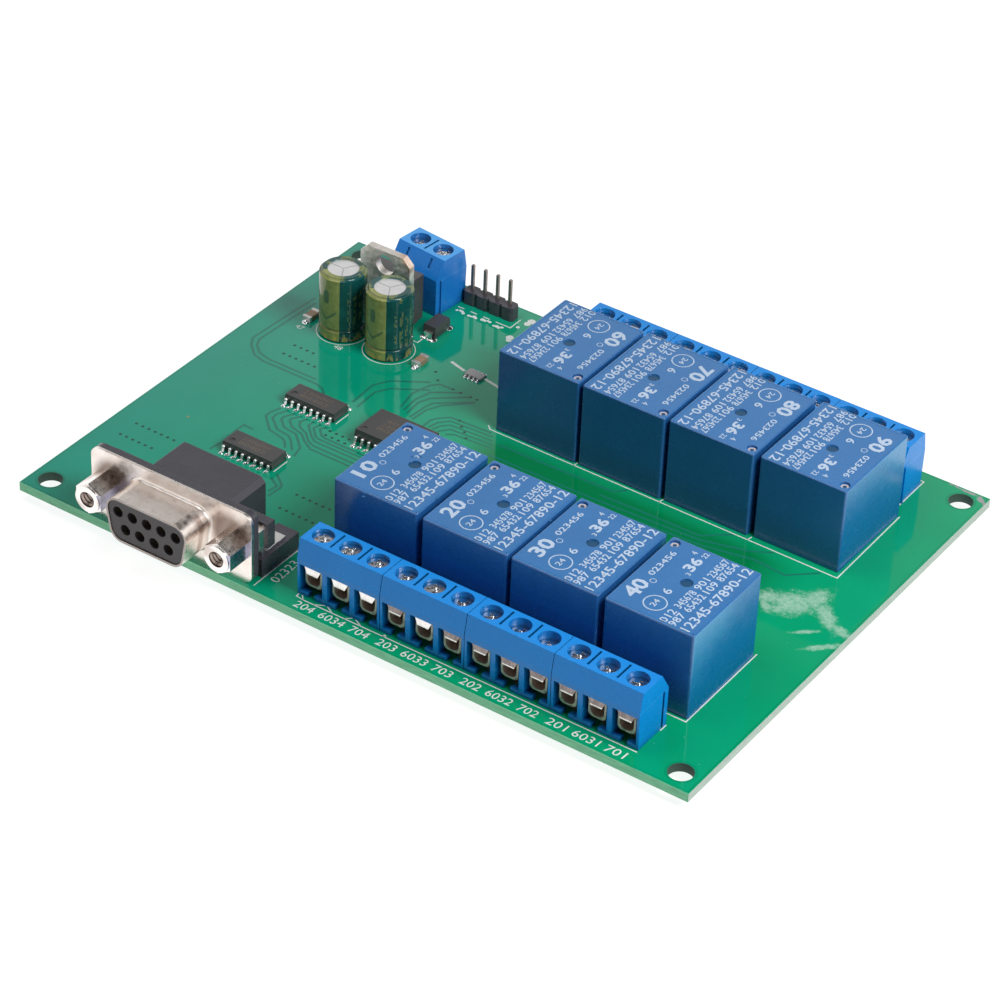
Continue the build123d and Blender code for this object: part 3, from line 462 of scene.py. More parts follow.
def stripe_look(name, centre, heading):
    """A capacitor's shrunk film, with the marked gold stripe on the side that heading points to."""
    look = Look(name, film_teal, 0.12)
    x, y, z = look.place(centre)
    turned = look.minus(look.math("ARCTAN2", y, x), math.radians(heading))
    around = look.node("ShaderNodeMath", {0: turned, 1: math.pi, 2: -math.pi}, operation="WRAP").outputs[0]
    away = look.size(around)

    # The stripe, with a dash and an arrow left out of it
    dash_z = look.math("POWER", look.math("DIVIDE", look.minus(z, 8.2), 1.25), 4.0)
    dash_turn = look.math("POWER", look.math("DIVIDE", around, 0.14), 4.0)
    dash = look.below(look.plus(dash_z, dash_turn), 1.0)
    arrow = look.size(look.minus(look.minus(z, 3.9), look.times(away, 3.4)))
    arrow = look.times(look.below(arrow, 0.24), look.below(away, 0.5))
    marked = look.times(look.larger(dash, arrow), 0.62)
    stripe = look.times(look.below(away, 0.62), look.minus(1.0, marked))

    # Glints at the foot and the shoulder, and small print beside the stripe
    foot = look.times(look.below(z, 1.5), look.cloud(1.0, 2.0, 0.48, 0.56, stretch=(1.0, 1.0, 3.0)))
    shoulder_shade = look.times(look.above(z, 11.1), look.cloud(1.3, 3.0, 0.52, 0.58, stretch=(1.6, 1.6, 1.0)))
    golden = look.larger(stripe, look.times(look.larger(foot, shoulder_shade), 0.6))
    column = look.below(look.math("PINGPONG", look.plus(around, 0.4), 0.14), 0.085)
    column = look.times(column, look.above(around, 0.95))
    row = look.above(look.noise(0.55, 2.0, (1.0, 1.0, 1.4)), 0.52)
    height = look.times(look.above(z, 2.2), look.below(z, 9.6))
    printed = look.times(look.times(column, row), look.times(height, 0.38))

    film = look.varied(look.cloud(3.0), film_teal, 0.7, 1.3)
    gold = look.varied(look.cloud(0.8, 4.0), film_gold, 0.82, 1.15)
    glint = look.times(foot, look.span(z, 1.3, 0.6), 0.8)
    gold = look.mix(glint, gold, film_glint)
    look.colour(look.mix(look.larger(golden, printed), film, gold))
    look.rough(look.cloud(2.0, 2.0, out_low=0.10, out_high=0.18))
    return look.bump(look.noise(2.4, 2.0, (1.0, 1.0, 1.6)), 0.02)


def can_look(name, centre):
    """The can's bare end, scored so that it can vent."""
    look = metal(name, (0.92, 0.92, 0.93), 0.42, depth=0.001)
    x, y, _ = look.place(centre)
    scores = None
    for heading in (60, 180, 300):
        c, s = math.cos(math.radians(heading)), math.sin(math.radians(heading))
        along = look.plus(look.times(x, c), look.times(y, s))
        across = look.minus(look.times(y, c), look.times(x, s))
        score = look.times(look.above(along, -0.1), look.below(look.size(across), 0.11))
        scores = score if scores is None else look.larger(scores, score)
    scores = look.times(scores, look.below(look.radius(x, y), 2.5))
    bare = look.mix(look.cloud(1.6, 3.0, 0.35), (1.0, 1.0, 1.0), (0.91, 0.91, 0.92))
    look.colour(look.mix(look.times(scores, 0.7), bare, (0.48, 0.48, 0.50)))
    return look.metallic(0.8)


def capped_look(name, centre):
    """A ceramic block with tinned ends."""
    look = plastic(name, (0.42, 0.28, 0.17), 0.35, 0.1, 0.002, 0.05)
    end = look.above(look.size(look.place(centre)[1]), 0.85)
    look.colour(look.mix(end, (0.40, 0.27, 0.17), (0.75, 0.74, 0.72)))
    return look.metallic(look.times(end, 0.8))


def tab_look():
    """The regulator's tab, tinned, with its copper showing at the right upper corner."""
    look = metal("tab_metal", (0.93, 0.88, 0.82), 0.5, depth=0.002)
    x, _, z = look.place(box_mm("regulator_tab")[1])
    worn = look.cloud(1.2, out_low=-0.4, out_high=0.2)
    corner = look.math("ADD", look.span(look.plus(x, z), -3.4, -1.8), worn, clamp=True)
    tin = look.mix(look.cloud(3.0, 3.0, 0.35), (0.96, 0.91, 0.86), (0.86, 0.81, 0.75))
    return look.colour(look.mix(look.times(corner, 0.55), tin, (0.80, 0.50, 0.32)))


looks = {
    "board": board_look(),
    "trace": Look("mask_on_copper", (0.010, 0.195, 0.130), 0.12),
    "speck": Look("tan_speck", (0.30, 0.30, 0.13), 0.5),
    "relay": relay_look(),
    "vent_mark": Look("vent_mark", (0.60, 0.52, 0.52), 0.5),
    "dimple": Look("dimple_shade", (0.004, 0.070, 0.170), 0.3),
    "nick": Look("nick_blue", (0.010, 0.120, 0.330), 0.4),
    "chip_print": Look("chip_print", (0.165, 0.135, 0.102), 0.5),
    "relay_step": Look("relay_step", (0.030, 0.190, 0.480), 0.35),
    "relay_base": plastic("relay_base_blue", (0.01, 0.04, 0.13), 0.5),
    "terminal": terminal_look(),
    "tin": metal("tinned", (0.70, 0.69, 0.66), 0.28),
    "clamp": clamp_look(),
    "flap": leaf_look(),
    "screw": metal("bright_screw", (0.80, 0.80, 0.81), 0.20, depth=0.003),
    "jack": jack_look(),
    "nickel": shell_look(),
    "tab": tab_look(),
    "bright": metal("bright_tin", (0.92, 0.91, 0.90), 0.30, depth=0.002),
    "thread": metal("thread_nickel", (0.40, 0.32, 0.28), 0.25),
    "pin": metal("header_pin", (0.36, 0.30, 0.27), 0.55, depth=0.001),
    "black": plastic("port_black", (0.062, 0.059, 0.073), 0.26, 0.35, 0.002),
    "insert": plastic("insert_black", (0.060, 0.054, 0.058), 0.42, 0.35, 0.006),
    "chip": plastic("chip_black", (0.073, 0.070, 0.071), 0.32, 0.12, 0.003, 0.06),
    "gold": metal("contact_gold", (0.34, 0.25, 0.12), 0.35),
    "rubber": plastic("seal_black", (0.02, 0.02, 0.02), 0.6),
    "resistor": plastic("resistor_dark", (0.42, 0.41, 0.41), 0.35, 0.1, 0.003, 0.05),
    "print": Look("white_print", (0.80, 0.84, 0.80), 0.55),
    "relay_print": Look("relay_print", (0.53, 0.65, 0.82), 0.45),
    "via": Look("tented_via", (0.003, 0.085, 0.050), 0.2),
    # Painted highlight: bright tin for the balls on the chip leads' bends
    "knee_highlight": metal("knee_highlight_tin", (0.93, 0.93, 0.92), 0.42, depth=0.002),
    "solder": metal("solder", (0.72, 0.73, 0.74), 0.18, depth=0.006, streak_mm=0.8),
}

dressed = {
    "board": ["circuit_board"],
    "relay": [f"relay_case_{number}" for number in range(1, 9)],
    "relay_base": [f"relay_base_{number}" for number in range(1, 9)],
    "terminal": [f"terminal_housing_{number}" for number in range(1, 9)] + ["power_terminal_housing"],
    "screw": ["terminal_screws"],
    "clamp": ["terminal_cages"],
    "flap": ["terminal_leaves"],
    "tin": ["relay_pins", "capacitor_leads", "regulator_leads"],
    "nickel": ["port_shell", "port_nuts"],
    "insert": ["port_insert"],
    "black": ["port_housing", "header_base"],
    "gold": ["port_contacts"],
    "jack": ["port_jack_screws"],
    "bright": ["port_board_locks", "lower_chip_leads", "upper_chip_leads", "wide_chip_leads", "diode_tabs"],
    "tab": ["regulator_tab"],
    "chip": ["regulator_body", "lower_chip_body", "upper_chip_body", "wide_chip_body", "diode_body"],
    "rubber": ["capacitor_seal_1", "capacitor_seal_2"],
    "resistor": ["resistor_network"],
    "pin": ["header_pins"],
}
stripe_heading = -98.0
for number in (1, 2):
    middle = box_mm(f"chip_capacitor_{number}")[2]
    looks[f"ceramic_{number}"] = capped_look(f"ceramic_{number}", middle)
    dressed[f"ceramic_{number}"] = [f"chip_capacitor_{number}"]
    low, _, middle = box_mm(f"capacitor_sleeve_{number}")
    foot = (middle.x, middle.y, low.z)
    looks[f"sleeve_{number}"] = stripe_look(f"sleeve_film_{number}", foot, stripe_heading)
    dressed[f"sleeve_{number}"] = [f"capacitor_sleeve_{number}"]
    looks[f"can_{number}"] = can_look(f"bare_can_{number}", foot)
    dressed[f"can_{number}"] = [f"capacitor_can_{number}"]

for key, names in dressed.items():
    for name in names:
        nodes[name].data.materials.clear()
        nodes[name].data.materials.append(looks[key].material)


# Builders for the pieces that scene.py adds; their sizes and places are in mm


def add_piece(name, bm, look, solid=False):
    """A piece from its faces. A solid one is turned outside out and shaded smooth."""
    if solid:
        bmesh.ops.recalc_face_normals(bm, faces=bm.faces)
    mesh = bpy.data.meshes.new(name)
    bm.to_mesh(mesh)
    bm.free()
    for polygon in mesh.polygons:
        polygon.use_smooth = solid
    mesh.materials.append(look.material)
    made = bpy.data.objects.new(name, mesh)
    scene.collection.objects.link(made)
    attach(made, "root")


def add_vert(bm, point):
    return bm.verts.new(Vector(point) * MM)


def add_face(bm, points):
    bm.faces.new([add_vert(bm, point) for point in points])


def circle(x, y, z, radius, sides):
    turn = 2 * math.pi / sides
    return [(x + radius * math.cos(i * turn), y + radius * math.sin(i * turn), z) for i in range(sides)]


def add_disc(bm, x, y, z, radius, sides=12):
    add_face(bm, circle(x, y, z, radius, sides))


def add_ring(bm, x, y, z, outer, inner, sides):
    rim, hole = circle(x, y, z, outer, sides), circle(x, y, z, inner, sides)
    for i in range(sides):
        j = (i + 1) % sides
        add_face(bm, [rim[i], rim[j], hole[j], hole[i]])


def add_lathe(bm, x, y, profile, sides):
    """A turned form about a vertical line: profile is (radius, z) from one end to the other."""
    rows = [[add_vert(bm, point) for point in circle(x, y, z, radius, sides)] for radius, z in profile]
    for lower, upper in zip(rows, rows[1:]):
        for i in range(sides):
            j = (i + 1) % sides
            bm.faces.new([lower[i], lower[j], upper[j], upper[i]])


def ribbon_sides(points, width):
    """The left and right edge of a flat line, mitred at its corners."""
    left, right = [], []
    flat = [Vector(point) for point in points]
    for i, point in enumerate(flat):
        before = (point - flat[i - 1]).normalized() if i else (flat[1] - point).normalized()
        after = (flat[i + 1] - point).normalized() if i + 1 < len(flat) else before
        mid = (before + after).normalized()
        side = Vector((-mid.y, mid.x))
        reach = width / 2 / max(0.5, side.dot(Vector((-before.y, before.x))))
        left.append(point + side * reach)
        right.append(point - side * reach)
    return left, right


def add_ribbon(bm, points, width, z):
    left, right = ribbon_sides(points, width)
    for i in range(len(left) - 1):
        add_face(bm, [(*left[i], z), (*right[i], z), (*right[i + 1], z), (*left[i + 1], z)])


def add_number(bm, text, corner, along, up, width, height, weight=0.0):
    """Plain digits as a flat mesh: corner is the lower left point, along and up are unit directions."""
    curve = bpy.data.curves.new("digits", "FONT")
    curve.offset = weight
    curve.body = text
    curve.resolution_u = 2
    carrier = bpy.data.objects.new("digits", curve)
    scene.collection.objects.link(carrier)
    bpy.context.view_layer.update()
    mesh = bpy.data.meshes.new_from_object(carrier.evaluated_get(bpy.context.evaluated_depsgraph_get()))
    xs = [v.co.x for v in mesh.vertices]
    ys = [v.co.y for v in mesh.vertices]
    wide, tall = max(xs) - min(xs), max(ys) - min(ys)
    verts = []
    for v in mesh.vertices:
        across = Vector(along) * ((v.co.x - min(xs)) / wide * width)
        over = Vector(up) * ((v.co.y - min(ys)) / tall * height)
        verts.append(add_vert(bm, Vector(corner) + (across + over)))
    for polygon in mesh.polygons:
        bm.faces.new([verts[i] for i in polygon.vertices])
    bpy.data.objects.remove(carrier)
    bpy.data.curves.remove(curve)
    bpy.data.meshes.remove(mesh)


def seated(place, x, y):
    """A point of a turned part: place is (centre x, centre y, turn in degrees)."""
    angle = math.radians(place[2])
    return (place[0] + x * math.cos(angle) - y * math.sin(angle),
            place[1] + x * math.sin(angle) + y * math.cos(angle))


def flat_points(name, low=-math.inf, high=math.inf):
    """A solid's vertices between two heights, seen from above."""
    places = [v.co for v in nodes[name].data.vertices]
    return [Vector((co.x, co.y)) / MM for co in places if low * MM <= co.z <= high * MM]


def grouped(points, alike):
    """Points in groups: each joins the first group whose first point is like it."""
    groups = []
    for point in points:
        group = next((group for group in groups if alike(group[0], point)), None)
        if group:
            group.append(point)
        else:
            groups.append([point])
    return groups


def within(reach):
    return lambda first, point: (first - point).length < reach


# Print, traces and vias of the board

mask_z = board_top + print_lift
overlap_step = 0.002
rightward, backward = (1, 0, 0), (0, 1, 0)
label_start, label_pitch, label_base = -7.35, 5.085, -44.0
label_height = 1.6
silk_width = 0.22
header_x, header_pitch = -35.5, 2.54
silk_lines = [
    [(53.1, -11.55), (53.1, -31.4), (36.8, -31.4)],
    [(-12.6, 12.9), (-11.7, 12.1), (53.13, 11.95), (52.9, 31.7)],
    [(51.3, 33.4), (51.3, 42.3), (36.0, 42.3)],
    [(51.2, -33.7), (51.2, -35.3)],
    [(-8.6, -41.95), (51.15, -41.45)],
    [(-10.0, -40.3), (-9.9, -41.75), (-8.5, -41.95), (-10.0, -40.3)],
    [(-6.5, -41.9), (-4.8, -40.9), (-3.2, -41.85)],
    [(-0.8, -41.85), (0.3, -40.8), (2.1, -41.8)],
    [(-16.6, -43.6), (-16.6, -32.0)],
    [(-48.2, -43.7), (-48.2, -32.0)],
    [(-36.6, 38.5), (-35.3, 38.5)],
    [(-34.0, 38.5), (-32.7, 38.5)],
    [(-31.4, 38.5), (-30.1, 38.5)],
    [(-28.9, 38.5), (-25.9, 38.5), (-25.9, 41.6)],
    [(-37.0, 31.9), (-35.6, 31.9), (-35.6, 25.4), (-37.0, 25.4)],
    [(-40.6, 25.4), (-41.8, 25.4), (-41.8, 31.9), (-40.6, 31.9)],
]
silk_lines += [[(x, 12.0), (x + 0.2, 13.0)] for x in (4.5, 20.66, 36.96)]
for name in ("lower_chip_body", "upper_chip_body"):
    low, high, _ = box_mm(name)
    end = high.x + 0.3
    silk_lines.append([(end, low.y + 0.1), (end, high.y - 0.3)])
broad_lines = [[(-27.9, 24.2), (-24.6, 23.3)], [(-20.6, 23.4), (-16.9, 22.7)]]
white_spots = [
    (-24.1, 42.2, 0.75), (-24.3, 41.2, 0.6), (-24.3, 36.0, 0.7), (-24.0, 35.2, 0.5), (-25.0, 39.4, 0.35),
]

prints = bmesh.new()
for pole in range(12):
    block = 4 - pole // 3
    text, width = ((f"20{block}", 3.4), (f"603{block}", 4.5), (f"70{block}", 3.4))[pole % 3]
    corner = (label_start + label_pitch * pole - width / 2, label_base, mask_z)
    add_number(prints, text, corner, rightward, (0.06, 1, 0), width, label_height)
add_number(prints, "02323", (-14.1, -41.0, mask_z), (-0.03, 1, 0), (-1, 0, 0), 6.0, label_height)
for text, x, y in (("47", -54.6, 16.6), ("48", -45.9, 15.6)):
    add_number(prints, text, (x, y, mask_z), rightward, backward, 1.5, 1.1)
for lines, width in ((silk_lines, silk_width), (broad_lines, 0.55)):
    for line in lines:
        add_ribbon(prints, line, width, mask_z)
for number in (1, 2):
    middle = box_mm(f"capacitor_sleeve_{number}")[2]
    add_ring(prints, middle.x, middle.y, mask_z, 4.5, 4.34, 36)
for way in range(4):
    for step, shift in enumerate((-0.6, -0.1, 0.35, 0.8)):
        x = header_x + header_pitch * way + shift
        y = 37.6 + draw.uniform(-0.35, 0.35)
        add_disc(prints, x, y, mask_z + overlap_step * step, draw.uniform(0.26, 0.42), 7)
add_disc(prints, 6.38, -41.6, mask_z, 0.3, 8)
for step, (x, y, radius) in enumerate(white_spots):
    add_disc(prints, x, y, mask_z + overlap_step * step, radius, 9)
add_piece("board_print", prints, looks["print"])

chip_marks = bmesh.new()
chip_texts = ("80402", "2306047", "40232")
row_height, row_pitch = 0.9, 1.25
for name, length, rows in (("lower_chip", 5.2, 2), ("upper_chip", 5.6, 2), ("wide_chip", 6.0, 3)):
    _, high, middle = box_mm(f"{name}_body")
    for row, text in enumerate(chip_texts[:rows]):
        y = middle.y + (row - rows / 2) * row_pitch + 0.15
        corner = (middle.x - length / 2, y, high.z + print_lift)
        add_number(chip_marks, text, corner, rightward, backward, length, row_height)
add_piece("chip_print", chip_marks, looks["chip_print"])

trace_width, trace_z, trace_step = 0.42, board_top + 0.004, 0.0003
trace_lines = [
    [(-57.2, 25.9), (-57.7, 18.3), (-58.1, 9.8), (-57.0, 8.0), (-54.8, 6.0), (-52.6, 5.4), (-41.7, 5.4),
     (-40.2, 5.0), (-38.9, 3.9)],
    [(-56.2, 24.7), (-56.6, 18.2), (-57.0, 10.3), (-56.3, 8.6), (-54.5, 7.0), (-52.3, 6.4), (-42.4, 6.4)],
    [(-42.0, -3.6), (-42.6, -5.6), (-42.6, -6.8), (-39.7, -9.6), (-36.7, -10.2), (-35.7, -10.8),
     (-34.7, -12.1)],
    [(-40.6, -3.4), (-41.5, -5.5), (-41.4, -6.6), (-38.9, -8.7), (-36.2, -9.1), (-35.3, -9.8),
     (-33.4, -11.9)],
    [(-39.2, -3.5), (-40.1, -5.3), (-40.0, -6.1), (-38.3, -7.6), (-35.6, -8.0), (-34.4, -9.1),
     (-32.8, -10.6), (-32.2, -13.0)],
    [(-38.0, -3.6), (-38.8, -5.0), (-38.7, -5.6), (-37.3, -6.8), (-34.9, -7.4), (-33.4, -8.7),
     (-31.3, -9.9), (-22.5, -9.9)],
    [(-36.7, -3.5), (-37.2, -4.8), (-36.4, -6.0), (-34.5, -6.8), (-32.9, -8.3), (-31.5, -8.9),
     (-22.5, -8.9)],
    [(-35.4, -3.4), (-35.5, -4.8), (-34.4, -5.9), (-33.1, -7.1), (-32.0, -7.8), (-22.5, -7.8)],
    [(-34.0, -3.4), (-34.4, -4.9), (-32.6, -6.7), (-31.6, -6.9), (-22.5, -6.9)],
    [(-32.8, -3.5), (-33.4, -4.6), (-32.0, -5.9), (-30.9, -6.1), (-22.5, -6.1)],
    [(-26.8, 8.4), (-27.6, 12.8), (-26.6, 16.5), (-25.5, 17.7), (-23.1, 17.7)],
    [(-25.9, 8.0), (-26.2, 11.7), (-25.4, 14.8), (-21.5, 17.7)],
    [(-25.0, 7.6), (-25.3, 11.3), (-24.4, 13.4), (-19.5, 17.6)],
    [(-24.0, 7.0), (-23.7, 10.8), (-23.3, 12.5), (-17.9, 17.0)],
    [(-23.3, 6.8), (-23.0, 10.3), (-21.9, 12.7), (-18.0, 16.6)],
    [(-20.8, 6.2), (-20.8, 8.4), (-20.2, 9.5), (-18.7, 11.0), (-10.9, 11.4)],
    [(-19.9, 6.6), (-19.5, 8.5), (-18.1, 10.1), (-10.2, 10.6)],
    [(-19.1, 6.5), (-18.6, 8.0), (-17.4, 9.2), (-9.5, 9.7)],
    [(-18.1, 6.5), (-16.8, 8.2), (-8.9, 8.8)],
    [(-16.6, 6.6), (-15.4, 7.4), (-8.2, 7.9)],
    [(-41.9, -11.1), (-43.8, -11.0), (-43.9, -13.2), (-43.6, -16.5), (-44.0, -19.6)],
    [(-31.4, -18.5), (-29.0, -20.4), (-28.7, -21.2), (-28.9, -24.0)],
    [(-31.5, -19.9), (-29.4, -21.1), (-29.7, -23.0)],
    [(-33.8, 4.8), (-34.1, 10.7), (-32.6, 13.4), (-27.1, 17.2)],
    [(-32.4, 4.1), (-32.6, 9.3), (-31.2, 11.7), (-25.8, 15.3)],
    [(12.2, 7.9), (21.3, 8.2), (30.4, 8.3), (32.0, 9.6), (34.6, 11.9)],
    [(14.0, 5.2), (31.7, 6.3), (40.5, 8.2), (46.3, 7.7), (50.4, 11.5)],
    [(-8.0, 6.2), (12.0, 6.4), (31.0, 7.4), (38.7, 9.6), (42.0, 11.6)],
    [(-8.3, 9.4), (2.0, 9.6), (13.5, 9.9), (15.0, 11.6)],
]
traces = bmesh.new()
for step, line in enumerate(trace_lines):
    add_ribbon(traces, line, trace_width, trace_z + trace_step * step)
add_piece("board_traces", traces, looks["trace"])

via_z = board_top + 0.015
via_pitch, via_radius = 1.27, 0.28
via_rows = [
    (-57.6, -21.2, 7), (-57.8, -25.05, 6), (-25.5, -21.07, 6), (-25.5, -25.45, 6),
    (-31.8, -4.0, 4), (-31.7, -5.3, 4), (-51.2, 12.25, 4), (-51.2, 9.2, 6),
]
via_spots = [(x + step * via_pitch, y) for x, y, count in via_rows for step in range(count)]
via_spots += [(-28.2, 20.2), (-26.5, 18.4), (-23.0, 17.8), (-21.4, 17.7), (-19.4, 17.7), (-18.2, 17.7),
              (-17.0, 11.1), (-15.8, 9.9), (-14.5, 8.9), (-13.4, 7.7)]
vias = bmesh.new()
for x, y in via_spots:
    add_disc(vias, x, y, via_z, via_radius)
add_piece("board_vias", vias, looks["via"])
speck = bmesh.new()
add_disc(speck, -52.3, -14.7, via_z, 0.24, 9)
add_piece("board_speck", speck, looks["speck"])


# Print and marks on the relays' tops

front_turns = (0.33, 0.32, 0.32, 0.44)
back_turns = (179.74, 179.82, 179.95, 179.81)
relay_codes = (10, 20, 30, 40, 60, 70, 80, 90)
print_weight = 0.014

# Places on a relay's top, counted from its middle
vent_place, vent_depth = (-6.475, 7.95), 0.38
dimple_place, dimple_depth = (-0.05, 0.8), 0.205
small_ring, large_ring = (-4.2, -1.7), (-1.15, -6.0)
worn_edges = (((7.2, -9.1), (7.2, 9.1), 0.16), ((-7.3, -9.0), (7.3, -9.0), 0.14))

# Each text with its base line's x, its start and end along y, and its height
relay_texts = [("12345-67890-12", 6.5, -9.0, 9.1, 1.7, print_weight)]
row_spans = ((-9.1, -5.8), (-5.0, -0.3), (0.4, 3.4), (4.1, 9.0))
for base_x, groups in ((2.6, ("012", "345678", "901", "234567")), (4.15, ("987", "65432", "109", "87654"))):
    relay_texts += [(text, base_x, *ends, 1.35, print_weight) for text, ends in zip(groups, row_spans)]
relay_texts += [
    ("{code}", -4.0, -6.8, -2.4, 2.7, 0.03),
    ("023456", -4.85, -0.7, 6.1, 1.1, print_weight),
    ("36", -0.6, 3.4, 6.8, 2.0, 0.035),
    ("24", -0.75, -6.9, -5.1, 0.95, print_weight),
    ("6", -0.5, -3.2, -2.0, 1.5, print_weight),
    ("4", -2.4, 7.3, 8.0, 1.0, print_weight),
    ("22", -0.8, 7.4, 8.7, 0.9, print_weight),
    ("3", -0.5, 2.4, 3.0, 0.8, print_weight),
]

relay_marks, relay_edges, vent_marks, dimple_marks = (bmesh.new() for _ in range(4))
for number, turn in enumerate(front_turns + back_turns, 1):
    _, high, middle = box_mm(f"relay_case_{number}")
    place = (middle.x, middle.y, turn)
    angle = math.radians(turn)
    along = (-math.sin(angle), math.cos(angle), 0)
    up = (-math.cos(angle), -math.sin(angle), 0)
    z = high.z + print_lift
    for text, base_x, start_y, end_y, height, weight in relay_texts:
        text = text.format(code=relay_codes[number - 1])
        corner = (*seated(place, base_x, start_y), z)
        add_number(relay_marks, text, corner, along, up, end_y - start_y, height, weight)
    add_ring(relay_marks, *seated(place, *small_ring), z, 0.55, 0.42, 12)
    add_ring(relay_marks, *seated(place, *large_ring), z, 1.85, 1.65, 24)
    vent = seated(place, *vent_place)
    add_ring(vent_marks, *vent, z - vent_depth, 0.66, 0.34, 16)
    # Dark discs at the floors of the vent and the dimple: painted shade
    add_disc(dimple_marks, *vent, z - vent_depth - 0.005, 0.3, 12)
    add_disc(dimple_marks, *seated(place, *dimple_place), z - dimple_depth, 0.93, 24)
    for start, end, width in worn_edges:
        add_ribbon(relay_edges, [seated(place, *start), seated(place, *end)], width, z)
add_piece("relay_print", relay_marks, looks["relay_print"])
add_piece("relay_edges", relay_edges, looks["relay_step"])
add_piece("relay_vent_marks", vent_marks, looks["vent_mark"])
add_piece("relay_dimples", dimple_marks, looks["dimple"])

# Nicks along the first relays' edges: x, y, half width and half depth
nick_spots = [
    (-5.2, -31.2, 0.45, 0.3), (-4.7, -32.1, 0.3, 0.25), (4.3, -25.6, 0.25, 0.5),
    (-3.9, -18.6, 0.35, 0.2), (-4.9, -19.4, 0.2, 0.3), (20.9, -20.1, 0.2, 0.4),
]
nick_corners = 9
nick_z = board_top + relay_height + print_lift
nicks = bmesh.new()
for x, y, half_width, half_depth in nick_spots:
    corners = []
    for out_x, out_y, _ in circle(0.0, 0.0, 0.0, 1.0, nick_corners):
        reach = draw.uniform(0.6, 1.1)
        corners.append((x + half_width * reach * out_x, y + half_depth * reach * out_y, nick_z))
    add_face(nicks, corners)
add_piece("relay_nicks", nicks, looks["nick"])


# Solder at the feet of the surface leads

chip_leads = ("lower_chip_leads", "upper_chip_leads", "wide_chip_leads")
foot_top = board_top + 0.12
foot_spread, tail_spread = 0.95, 1.1
fillets = bmesh.new()


def add_fillet(x, y, profile, sides):
    """Solder heaped on the board: profile is (radius, height over the board)."""
    add_lathe(fillets, x, y, [(radius, board_top + height) for radius, height in profile], sides)


for name, reach in [(name, 0.30) for name in chip_leads] + [("diode_tabs", 0.75)]:
    for foot in grouped(flat_points(name, high=foot_top), within(foot_spread)):
        middle = sum(foot, Vector((0.0, 0.0))) / len(foot)
        heaped = reach * draw.uniform(0.9, 1.15)
        profile = [(heaped + 0.12, 0.01), (heaped, 0.12), (heaped * 0.6, 0.26), (0.03, 0.3)]
        add_fillet(middle.x, middle.y, profile, 10)
for number in (1, 2):
    low, high, middle = box_mm(f"chip_capacitor_{number}")
    for y in (low.y - 0.2, high.y + 0.2):
        heaped = 0.62 * draw.uniform(0.9, 1.1)
        add_fillet(middle.x, y, [(heaped, 0.01), (heaped * 0.8, 0.3), (0.04, 0.55)], 12)
low, high, _ = box_mm("resistor_network")
for step in range(4):
    for y in (low.y - 0.1, high.y + 0.1):
        add_fillet(low.x + 0.4 + 0.8 * step, y, [(0.36, 0.01), (0.3, 0.25), (0.03, 0.45)], 10)
add_piece("lead_fillets", fillets, looks["solder"], solid=True)

# Bright tin balls on the bends of the chips' leads, one at each lead's outer shoulder: a painted highlight
# where the bends catch the light
ball_turns = [math.pi * step / 6 for step in range(7)]
knee_highlights = bmesh.new()
for name in chip_leads:
    _, high, middle = box_mm(name)

    def same_lead(first, point):
        return abs(first.x - point.x) < 0.6 and (first.y - middle.y) * (point.y - middle.y) > 0

    for bend in grouped(flat_points(name, low=high.z - 0.3), same_lead):
        x = sum(point.x for point in bend) / len(bend)
        y = max((point.y for point in bend), key=lambda value: abs(value - middle.y))
        size, z = draw.uniform(0.26, 0.31), high.z - 0.1
        profile = [(size * math.sin(turn) + 0.005, z - size * math.cos(turn)) for turn in ball_turns]
        add_lathe(knee_highlights, x, y, profile, 10)
add_piece("lead_knee_highlights", knee_highlights, looks["knee_highlight"], solid=True)


# Solder on the underside, one joint to each tail

tail_names = ("relay_pins", "terminal_cages", "port_contacts", "port_board_locks", "capacitor_leads",
              "regulator_leads", "header_pins")
tail_points = [point for name in tail_names for point in flat_points(name, high=tail_end + 0.1)]
joints = bmesh.new()
for tail in grouped(tail_points, within(tail_spread)):
    xs, ys = [point.x for point in tail], [point.y for point in tail]
    middle = Vector(((min(xs) + max(xs)) / 2, (min(ys) + max(ys)) / 2))
    reach = max((middle - point).length for point in tail)
    pad = reach + 0.65
    profile = [(pad, 0.0), (pad, -0.05), (reach + 0.35, -0.35), (reach + 0.12, -0.9), (0.05, -1.15)]
    add_lathe(joints, middle.x, middle.y, profile, 16)
add_piece("solder_joints", joints, looks["solder"], solid=True)


# Thread in the jack screws: a ridge wound about each bore, as (radius, shift along it) from root to root

thread_start, thread_pitch = -48.45, 0.64
thread_turns, thread_steps = 5, 24
ridge = ((1.32, -0.28), (1.02, 0.0), (1.32, 0.28))
thread = bmesh.new()
for side in (-1, 1):
    rows = []
    for step in range(thread_turns * thread_steps + 1):
        angle = 2 * math.pi * step / thread_steps
        y = thread_start + thread_pitch * step / thread_steps
        rows.append([
            add_vert(thread, (port_x + side * jack_x + radius * math.cos(angle), y + shift,
                              port_z + radius * math.sin(angle)))
            for radius, shift in ridge
        ])
    for a, b in zip(rows, rows[1:]):
        for k in (0, 1):
            thread.faces.new([a[k], a[k + 1], b[k + 1], b[k]])
bmesh.ops.recalc_face_normals(thread, faces=thread.faces)
add_piece("jack_threads", thread, looks["thread"])


# Floor, light and camera


class Studio(Graph):
    """The nodes of the floor's material or of the world, which look pale to the camera."""

    def __init__(self, owner):
        super().__init__(owner)
        self.tree.nodes.clear()
        self.ray = self.node("ShaderNodeLightPath").outputs

    def looked_at(self):
        """1 for a ray from the camera, a mirror or a clear thing, 0 for the light that surfaces gather."""
        mirrored = self.larger(self.ray["Is Camera Ray"], self.ray["Is Glossy Ray"])
        return self.larger(mirrored, self.ray["Is Transmission Ray"])


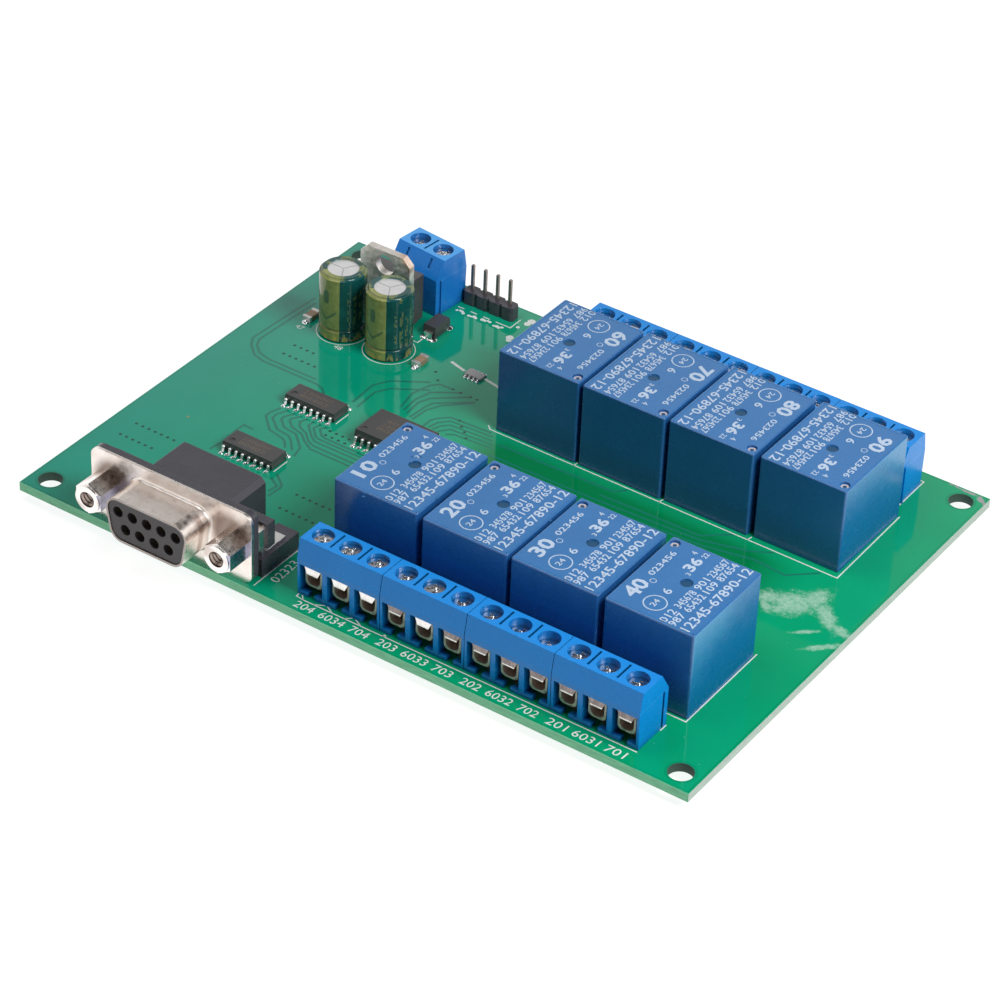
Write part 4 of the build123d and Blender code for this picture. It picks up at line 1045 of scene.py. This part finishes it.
floor_half = 2500
floor_albedo = (0.30, 0.30, 0.30)
floor_glow = 0.89
floor_bounce = 0.55
pale = bpy.data.materials.new("pale_floor")
graph = Studio(pale)
diffuse = graph.node("ShaderNodeBsdfDiffuse", {"Color": floor_albedo})
strength = graph.mix_value(graph.looked_at(), floor_bounce, floor_glow)
glow = graph.node("ShaderNodeEmission", {"Strength": strength})
both = graph.node("ShaderNodeAddShader", {0: diffuse.outputs[0], 1: glow.outputs[0]})
graph.node("ShaderNodeOutputMaterial", {"Surface": both.outputs[0]})

floor_mesh = bmesh.new()
corners = ((-1, -1), (1, -1), (1, 1), (-1, 1))
add_face(floor_mesh, [(x * floor_half, y * floor_half, tail_end) for x, y in corners])
mesh = bpy.data.meshes.new("studio_floor")
floor_mesh.to_mesh(mesh)
floor_mesh.free()
mesh.materials.append(pale)
floor = bpy.data.objects.new("studio_floor", mesh)
scene.collection.objects.link(floor)

# The studio: white wherever the camera looks, soft light for surfaces, and in mirrors a white
# backdrop that ends below a dark ceiling
ambient_strength = 0.07
backdrop_full, backdrop_end = 0.545, 0.625
ceiling_strength = 0.03
world = bpy.data.worlds.new("studio")
scene.world = world
graph = Studio(world)
height = graph.parts(graph.node("ShaderNodeTexCoord").outputs["Generated"])[2]
fade = graph.span(height, backdrop_full, backdrop_end, 1.0, ceiling_strength)
backdrop = graph.mix_value(graph.ray["Is Camera Ray"], fade, 1.0)
strength = graph.mix_value(graph.looked_at(), ambient_strength, backdrop)
background = graph.node("ShaderNodeBackground", {"Color": (1.0, 1.0, 1.0), "Strength": strength})
graph.node("ShaderNodeOutputWorld", {"Surface": background.outputs[0]})


def add_lamp(name, place, target, size, power):
    """A square soft light; place, target and size are in metres."""
    lamp = bpy.data.lights.new(name, "AREA")
    lamp.shape = "SQUARE"
    lamp.size = size
    lamp.energy = power
    made = bpy.data.objects.new(name, lamp)
    scene.collection.objects.link(made)
    made.location = place
    made.rotation_euler = (Vector(target) - Vector(place)).to_track_quat("-Z", "Y").to_euler()


add_lamp("key", (0.24, -0.02, 0.26), (0.0, 0.0, 0.0), 0.16, 0.98)
add_lamp("overhead", (-0.09, -0.045, 0.28), (-0.03, 0, 0), 0.18, 0.27)

# The camera fitted to the photo: it looks at a point over the board, target, from a distance
target = Vector((4.280, -8.553, 6.6))
distance = 571.81
azimuth, elevation, roll = math.radians(33.114), math.radians(36.046), 0.0451
camera_data = bpy.data.cameras.new("camera")
camera_data.lens = 133.30
camera_data.sensor_fit = "HORIZONTAL"
camera_data.sensor_width = 36.0
camera_data.clip_start = 0.01
camera_data.clip_end = 20.0
camera = bpy.data.objects.new("camera", camera_data)
scene.collection.objects.link(camera)
flat = math.cos(elevation)
back = Vector((math.sin(azimuth) * flat, -math.cos(azimuth) * flat, math.sin(elevation)))
right = (-back).cross(Vector((0, 0, 1))).normalized()
upward = right.cross(-back)
camera_x = math.cos(roll) * right + math.sin(roll) * upward
camera_y = -math.sin(roll) * right + math.cos(roll) * upward
turned = Matrix((camera_x, camera_y, back)).transposed().to_4x4()
turned.translation = (target + back * distance) * MM
camera.matrix_world = turned
scene.camera = camera

scene.view_settings.view_transform = "Standard"
